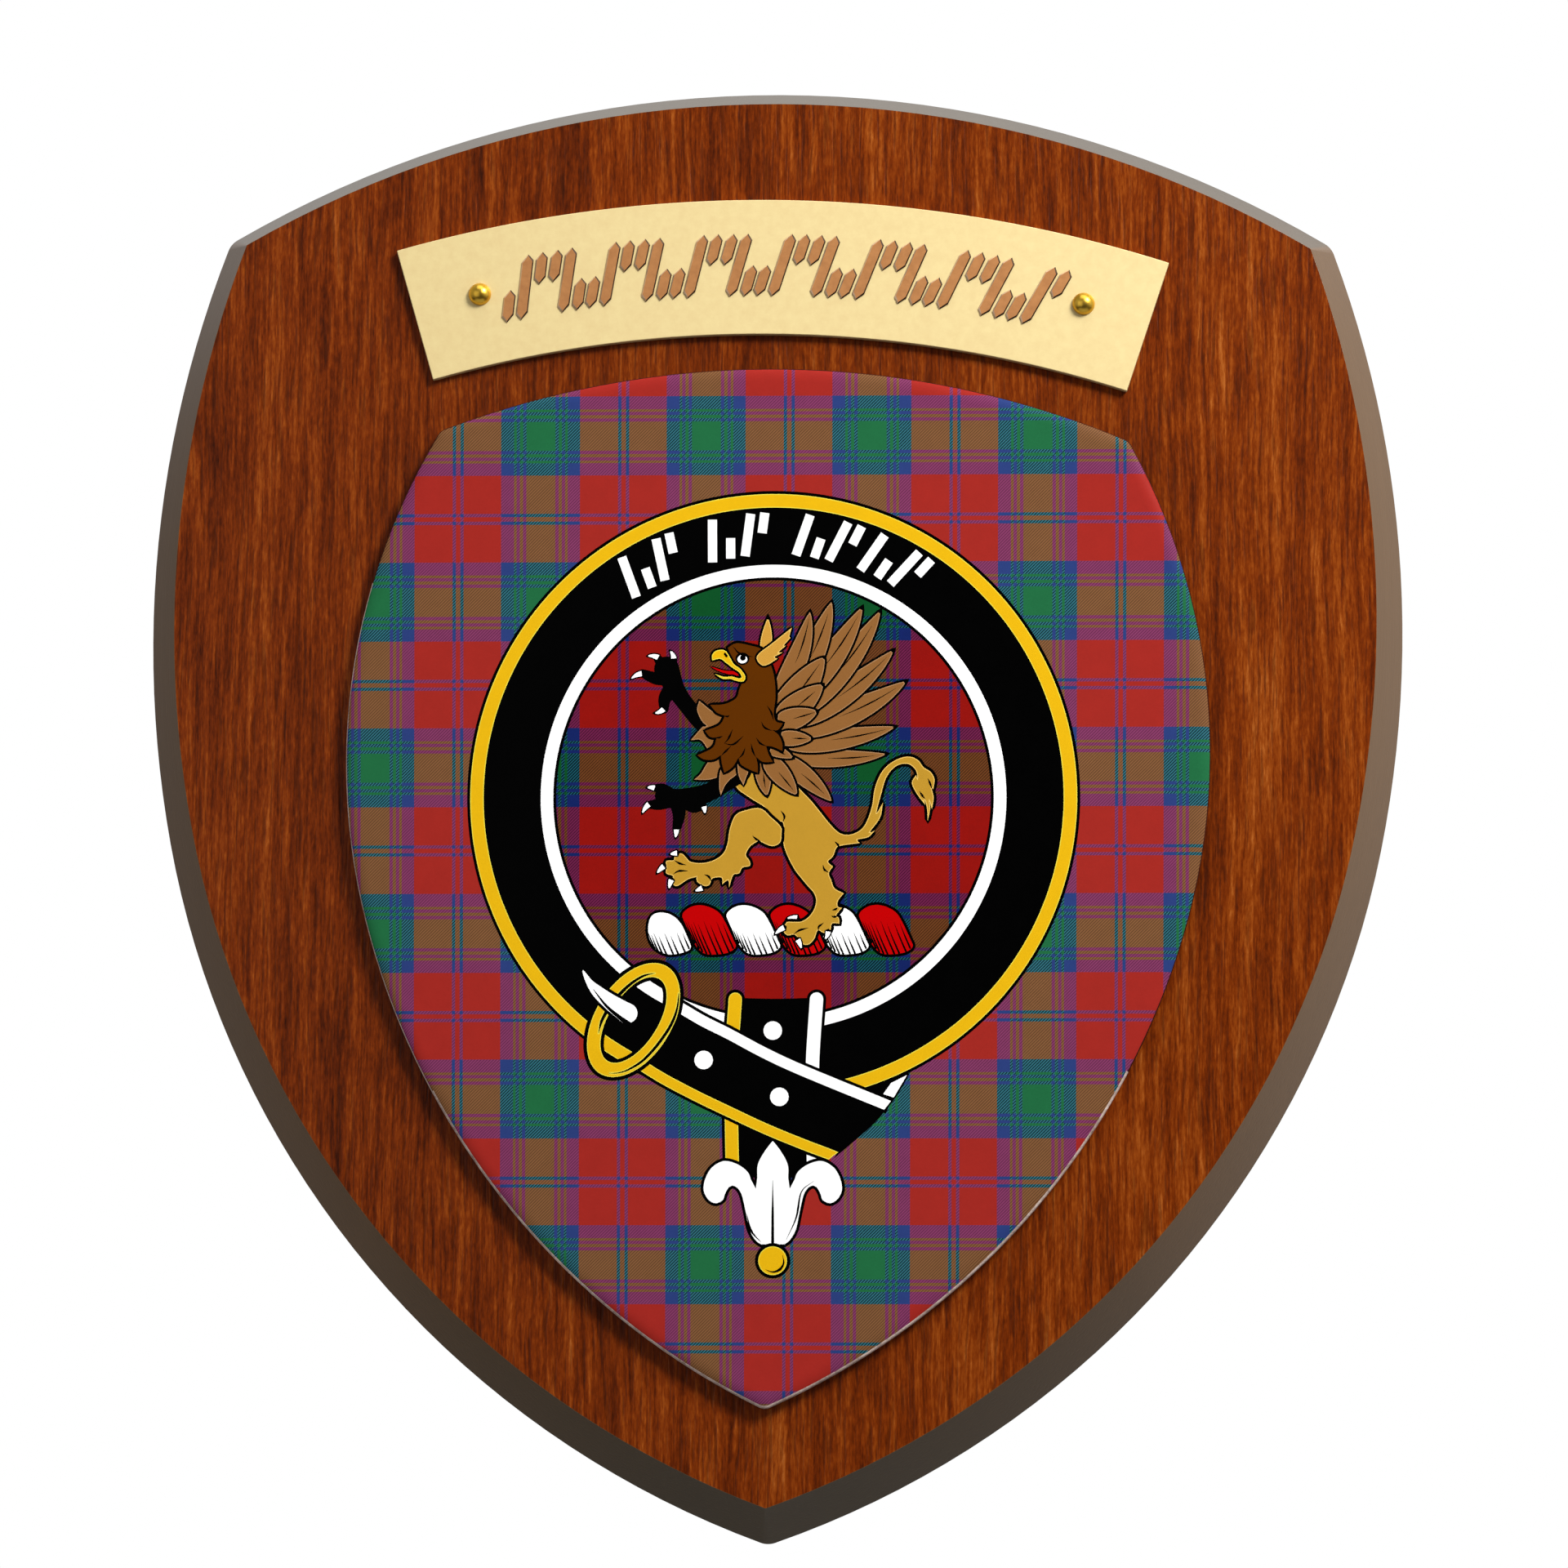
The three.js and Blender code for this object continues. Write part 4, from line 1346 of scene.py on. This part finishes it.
def name_plate():
    """Arched brass plate with its two pin holes and a fine chamfer."""
    sweep = np.linspace(-PLATE_HALF_ANGLE, PLATE_HALF_ANGLE, PLATE_STEPS + 1)
    upper = [on_plate(angle, PLATE_RADIUS) for angle in sweep[::-1]]
    lower = [on_plate(angle, PLATE_RADIUS - PLATE_HEIGHT) for angle in sweep]
    shapes = [np.array(upper + lower)]
    turns = np.arange(HOLE_STEPS) * 2 * math.pi / HOLE_STEPS
    hole = np.column_stack([np.cos(turns), np.sin(turns)]) * PIN_HOLE / 2
    for side in (-1, 1):
        shapes.append(hole + on_plate(side * PIN_ANGLE, PIN_RADIUS))
    places, cells, owners = cut_flat([shape / MM for shape in shapes])
    bm = bmesh.new()
    verts = ring_of(bm, places * MM, BOARD_FRONT)
    kept = [bm.faces.new([verts[i] for i in cell]) for cell, owner in zip(cells, owners) if owner == 0]
    grown = bmesh.ops.extrude_face_region(bm, geom=kept)
    for part in grown["geom"]:
        if isinstance(part, bmesh.types.BMVert):
            part.co.y = PLATE_FRONT
    bmesh.ops.delete(bm, geom=[v for v in bm.verts if not v.link_faces], context="VERTS")
    bmesh.ops.recalc_face_normals(bm, faces=bm.faces)
    bmesh.ops.dissolve_limit(bm, angle_limit=math.radians(0.05), verts=[], edges=bm.edges)
    for face in bm.faces:
        face.smooth = True
    plate = new_object("brass_plate", mesh_of(bm, "brass_plate"), "brass")
    soften(plate, PLATE_EDGE, 2, 60)
    finish_piece(plate, "name_plate")


def stroke_motif(name, high):
    """The strokes of one place about their own middle: a long one between two short ones."""
    bm = bmesh.new()
    short = STROKE_LENGTH * SHORT_STROKE
    shift = high * (STROKE_LENGTH - short) / 2
    side = STROKE_WIDTH / 2
    levels = (  # depth and inset of a stroke's foot, shoulder and top
        (STROKE_SINK, 0.0),
        (STROKE_EDGE - STROKE_HEIGHT, 0.0),
        (-STROKE_HEIGHT, STROKE_EDGE),
    )
    strokes = ((-STROKE_GAP, shift, short), (0, 0, STROKE_LENGTH), (STROKE_GAP, -shift, short))
    for along, up, length in strokes:
        half = length / 2
        shoulder = half - STROKE_POINT
        right = np.array([(0, -half), (side, -shoulder), (side, shoulder)])
        corners = np.concatenate([right, -right])
        rings = []
        for depth, inset in levels:
            shape = corners * (1 - inset / side, 1 - STROKE_POINT_INSET * inset / half) + (0, up)
            shape[:, 0] += along + shape[:, 1] * STROKE_LEAN
            rings.append(ring_of(bm, shape, depth))
        for lower, upper in zip(rings, rings[1:]):
            band(bm, lower, upper)
        bm.faces.new(rings[0][::-1])
        bm.faces.new(rings[-1])
    bmesh.ops.recalc_face_normals(bm, faces=bm.faces)
    return new_object(name, mesh_of(bm, name))


STROKE_SOCKETS = (  # name, kind and value of the inputs of the row
    ("Places", "Int", STROKE_PLACES),
    ("Pitch", "Float", STROKE_PITCH),
    ("Radius", "Float", STROKE_RADIUS),
    ("Turn", "Float", PLATE_TURN),
)


def stroke_row_tree(motifs):
    """Geometry nodes: the two motifs in turn along the plate's arc, the steep sides of a stroke darkened
    towards the lower right as painted shade and lightened towards the upper left as painted highlight.
    """
    tree = bpy.data.node_groups.new("stroke_row", "GeometryNodeTree")
    sockets = {}
    new_socket = tree.interface.new_socket
    for label, kind, value in STROKE_SOCKETS:
        sockets[label] = new_socket(name=label, in_out="INPUT", socket_type="NodeSocket" + kind)
        sockets[label].default_value = value
    new_socket(name="Geometry", in_out="OUTPUT", socket_type="NodeSocketGeometry")
    w = Wiring(tree)
    given = w.add("NodeGroupInput").outputs
    index = w.add("GeometryNodeInputIndex").outputs[0]
    middle = w.math("MULTIPLY", w.math("SUBTRACT", given["Places"], 1.0), 0.5)
    angle = w.math("MULTIPLY_ADD", w.math("SUBTRACT", index, middle), given["Pitch"], given["Turn"])
    x = w.math("MULTIPLY_ADD", w.math("SINE", angle), given["Radius"], PLATE_CENTRE[0])
    z = w.math("MULTIPLY_ADD", w.math("COSINE", angle), given["Radius"], PLATE_CENTRE[1])
    row = w.add("GeometryNodePoints")
    w.put(row.inputs["Count"], given["Places"])
    w.put(row.inputs["Position"], w.join(x, PLATE_FRONT, z))
    pair = w.add("GeometryNodeGeometryToInstance")
    for motif in reversed(motifs):
        info = w.add("GeometryNodeObjectInfo")
        info.inputs["Object"].default_value = motif
        w.put(pair.inputs[0], info.outputs["Geometry"])
    placed = w.add("GeometryNodeInstanceOnPoints")
    w.put(placed.inputs["Points"], row.outputs[0])
    w.put(placed.inputs["Instance"], pair.outputs[0])
    placed.inputs["Pick Instance"].default_value = True
    w.put(placed.inputs["Instance Index"], w.math("MODULO", index, 2.0))
    w.put(placed.inputs["Rotation"], w.join(y=angle))
    real = w.add("GeometryNodeRealizeInstances")
    w.put(real.inputs[0], placed.outputs[0])
    # Painted shade and painted highlight: the steep sides are dark towards the lower right and bright towards
    # the upper left
    x, y, z = w.split(w.add("GeometryNodeInputNormal").outputs[0])
    facing = w.math("SUBTRACT", w.math("MULTIPLY", x, 0.8), w.math("MULTIPLY", z, 0.6))
    steep = w.math("GREATER_THAN", y, -FLAT)
    last = real.outputs[0]
    for key, chosen in (
        ("copper", None),
        ("shade_side", w.math("MULTIPLY", steep, w.math("GREATER_THAN", facing, 0.0))),
        ("lit_side", w.math("MULTIPLY", steep, w.math("LESS_THAN", facing, 0.0))),
    ):
        dressed = w.add("GeometryNodeSetMaterial")
        w.put(dressed.inputs["Geometry"], last)
        dressed.inputs["Material"].default_value = MATERIALS[key]
        if chosen is not None:
            w.put(dressed.inputs["Selection"], chosen)
        last = dressed.outputs[0]
    w.put(w.add("NodeGroupOutput").inputs[0], last)
    return tree, sockets


def stroke_row():
    """Copper strokes in a row along the plate."""
    motifs = [stroke_motif("strokes_low_first", -1), stroke_motif("strokes_high_first", 1)]
    tree, sockets = stroke_row_tree(motifs)
    row = new_object("name_strokes", bpy.data.meshes.new("name_strokes"))
    nodes = row.modifiers.new("row", "NODES")
    nodes.node_group = tree
    for label, _, value in STROKE_SOCKETS:
        nodes[sockets[label].identifier] = value
    finish_piece(row, "name_plate")
    for motif in motifs:
        bpy.data.objects.remove(motif)


def brass_pin(node, side):
    """Domed escutcheon pin, turned about its own axis."""
    x, z = on_plate(side * PIN_ANGLE, PIN_RADIUS)
    dome = [math.pi / 2 * i / DOME_STEPS for i in range(DOME_STEPS + 1)]
    profile = [(PIN_HEAD / 2 * math.sin(t), PLATE_FRONT - PIN_HEAD_HEIGHT * math.cos(t)) for t in dome]
    profile.append((PIN_SHANK / 2, PLATE_FRONT))
    profile.append((PIN_SHANK / 2, PLATE_FRONT + PIN_LENGTH - PIN_POINT))
    profile.append((0.0, PLATE_FRONT + PIN_LENGTH))
    bm = bmesh.new()
    line = [bm.verts.new((radius, depth, 0.0)) for radius, depth in profile]
    edges = [bm.edges.new(pair) for pair in zip(line, line[1:])]
    whole = 2 * math.pi
    bmesh.ops.spin(bm, geom=line + edges, cent=(0, 0, 0), axis=(0, 1, 0), angle=whole, steps=PIN_STEPS)
    bmesh.ops.remove_doubles(bm, verts=bm.verts, dist=1e-7)
    bmesh.ops.recalc_face_normals(bm, faces=bm.faces)
    bmesh.ops.translate(bm, verts=bm.verts, vec=(x, 0, z))
    for face in bm.faces:
        face.smooth = True
    mesh = mesh_of(bm, node + "_brass")
    mesh.set_sharp_from_angle(angle=math.radians(50))
    made = new_object(node + "_brass", mesh, "pin")
    finish_piece(made, node)


# Studio

FLOOR_DROP = 2.2
FLOOR_HALF = 2.0
LIGHT_AIM = (0.0, 0.0, -0.06)
LIGHTS = (  # name, place, size and power
    ("key", (0.42, -0.5, 0.42), 0.26, 8.6),
    ("top", (0.0, -0.4, 0.9), 0.7, 3.0),
    ("fill", (-0.5, -0.9, 0.0), 0.8, 1.6),
)


def studio():
    """Pale floor well below the hanging board, white backdrop, soft lights from the upper right."""
    bm = bmesh.new()
    bmesh.ops.create_grid(bm, x_segments=2, y_segments=2, size=FLOOR_HALF)
    bmesh.ops.translate(bm, verts=bm.verts, vec=(0, 0, -FLOOR_DROP))
    floor = new_object("floor", mesh_of(bm, "floor"))
    made, _, shader, _ = material("pale_floor")
    shader.inputs["Base Color"].default_value = (0.8, 0.8, 0.79, 1)
    shader.inputs["Roughness"].default_value = 0.9
    floor.data.materials.append(made)

    for light in LIGHTS:
        softbox(*light)

    world = bpy.data.worlds.new("studio")
    world.use_nodes = True
    bpy.context.scene.world = world
    w = Wiring(world.node_tree)
    backdrop = world.node_tree.nodes["Background"]
    x, y, z = w.split(w.add("ShaderNodeTexCoord").outputs["Generated"])
    # Each stretch turns a direction into a strength; in front of the board there are dim side windows
    above = w.stretch(z, 0.1, 0.9, 0.03, 0.25)
    right = w.stretch(x, 0.4, 1.0, 0.0, 0.9)
    left = w.stretch(x, -0.4, -1.0, 0.0, 0.5)
    level = w.stretch(z, -0.5, 0.0)
    front = w.math("MULTIPLY_ADD", w.math("ADD", right, left), level, above)
    # The bevels mirror the wall behind the board: bright above, dim to the right, dark to the left
    wall_above = w.stretch(z, 0.2, 0.5, 0.0, 0.95)
    wall_right = w.stretch(x, -0.5, 0.6, 0.15, 0.4)
    wall_below = w.stretch(z, -0.6, -0.1, 0.4, 1.0)
    wall = w.math("MAXIMUM", wall_above, w.math("MULTIPLY", wall_right, wall_below))
    behind = w.stretch(y, 0.0, 0.2)
    strength = w.math("MULTIPLY_ADD", w.math("SUBTRACT", wall, front), behind, front)
    seen = w.add("ShaderNodeLightPath").outputs["Is Camera Ray"]
    w.put(backdrop.inputs["Strength"], w.math("MAXIMUM", strength, seen))
    backdrop.inputs["Color"].default_value = (1, 1, 1, 1)


def softbox(name, place, size, power):
    """Square light that shines at the plaque."""
    lamp = bpy.data.lights.new(name, "AREA")
    lamp.shape = "SQUARE"
    lamp.size = size
    lamp.energy = power
    made = bpy.data.objects.new(name, lamp)
    bpy.context.scene.collection.objects.link(made)
    made.location = place
    made.rotation_euler = (Vector(LIGHT_AIM) - Vector(place)).to_track_quat("-Z", "Y").to_euler()


# Camera, where the photograph was taken from

CAMERA_AIM = (0.000489, -0.006, -0.0608)
CAMERA_DISTANCE = 0.7621
CAMERA_ELEVATION = math.radians(-7.7)
CAMERA_AZIMUTH = math.radians(1.55)
CAMERA_ROLL = math.radians(0.54)
SENSOR_WIDTH = 36.0
FOCAL_PIXELS = 7731
IMAGE_PIXELS = 1920
AIM_PIXEL = (952, 1003)
CLIP_START = 0.05


def camera():
    """Camera in front of and a little below the plaque, its aim held at a pixel by the shift."""
    lens = bpy.data.cameras.new("camera")
    lens.sensor_width = SENSOR_WIDTH
    lens.lens = SENSOR_WIDTH * FOCAL_PIXELS / IMAGE_PIXELS
    lens.shift_x = (IMAGE_PIXELS / 2 - AIM_PIXEL[0]) / IMAGE_PIXELS
    lens.shift_y = (AIM_PIXEL[1] - IMAGE_PIXELS / 2) / IMAGE_PIXELS
    lens.clip_start = CLIP_START
    made = bpy.data.objects.new("camera", lens)
    bpy.context.scene.collection.objects.link(made)
    flat = math.cos(CAMERA_ELEVATION)
    sideways, forwards = math.sin(CAMERA_AZIMUTH) * flat, -math.cos(CAMERA_AZIMUTH) * flat
    back = Vector((sideways, forwards, math.sin(CAMERA_ELEVATION)))
    level = Vector((0, 0, 1)).cross(back).normalized()
    raised = back.cross(level)
    right = level * math.cos(CAMERA_ROLL) + raised * math.sin(CAMERA_ROLL)
    up = raised * math.cos(CAMERA_ROLL) - level * math.sin(CAMERA_ROLL)
    place = Vector(CAMERA_AIM) + back * CAMERA_DISTANCE
    made.matrix_world = Matrix.Translation(place) @ Matrix((right, up, back)).transposed().to_4x4()
    bpy.context.scene.camera = made
    bpy.context.scene.view_settings.view_transform = "Standard"


shield_board()
panel()
name_plate()
stroke_row()
brass_pin("pin_left", -1)
brass_pin("pin_right", 1)
studio()
camera()

bpy.context.view_layer.update()
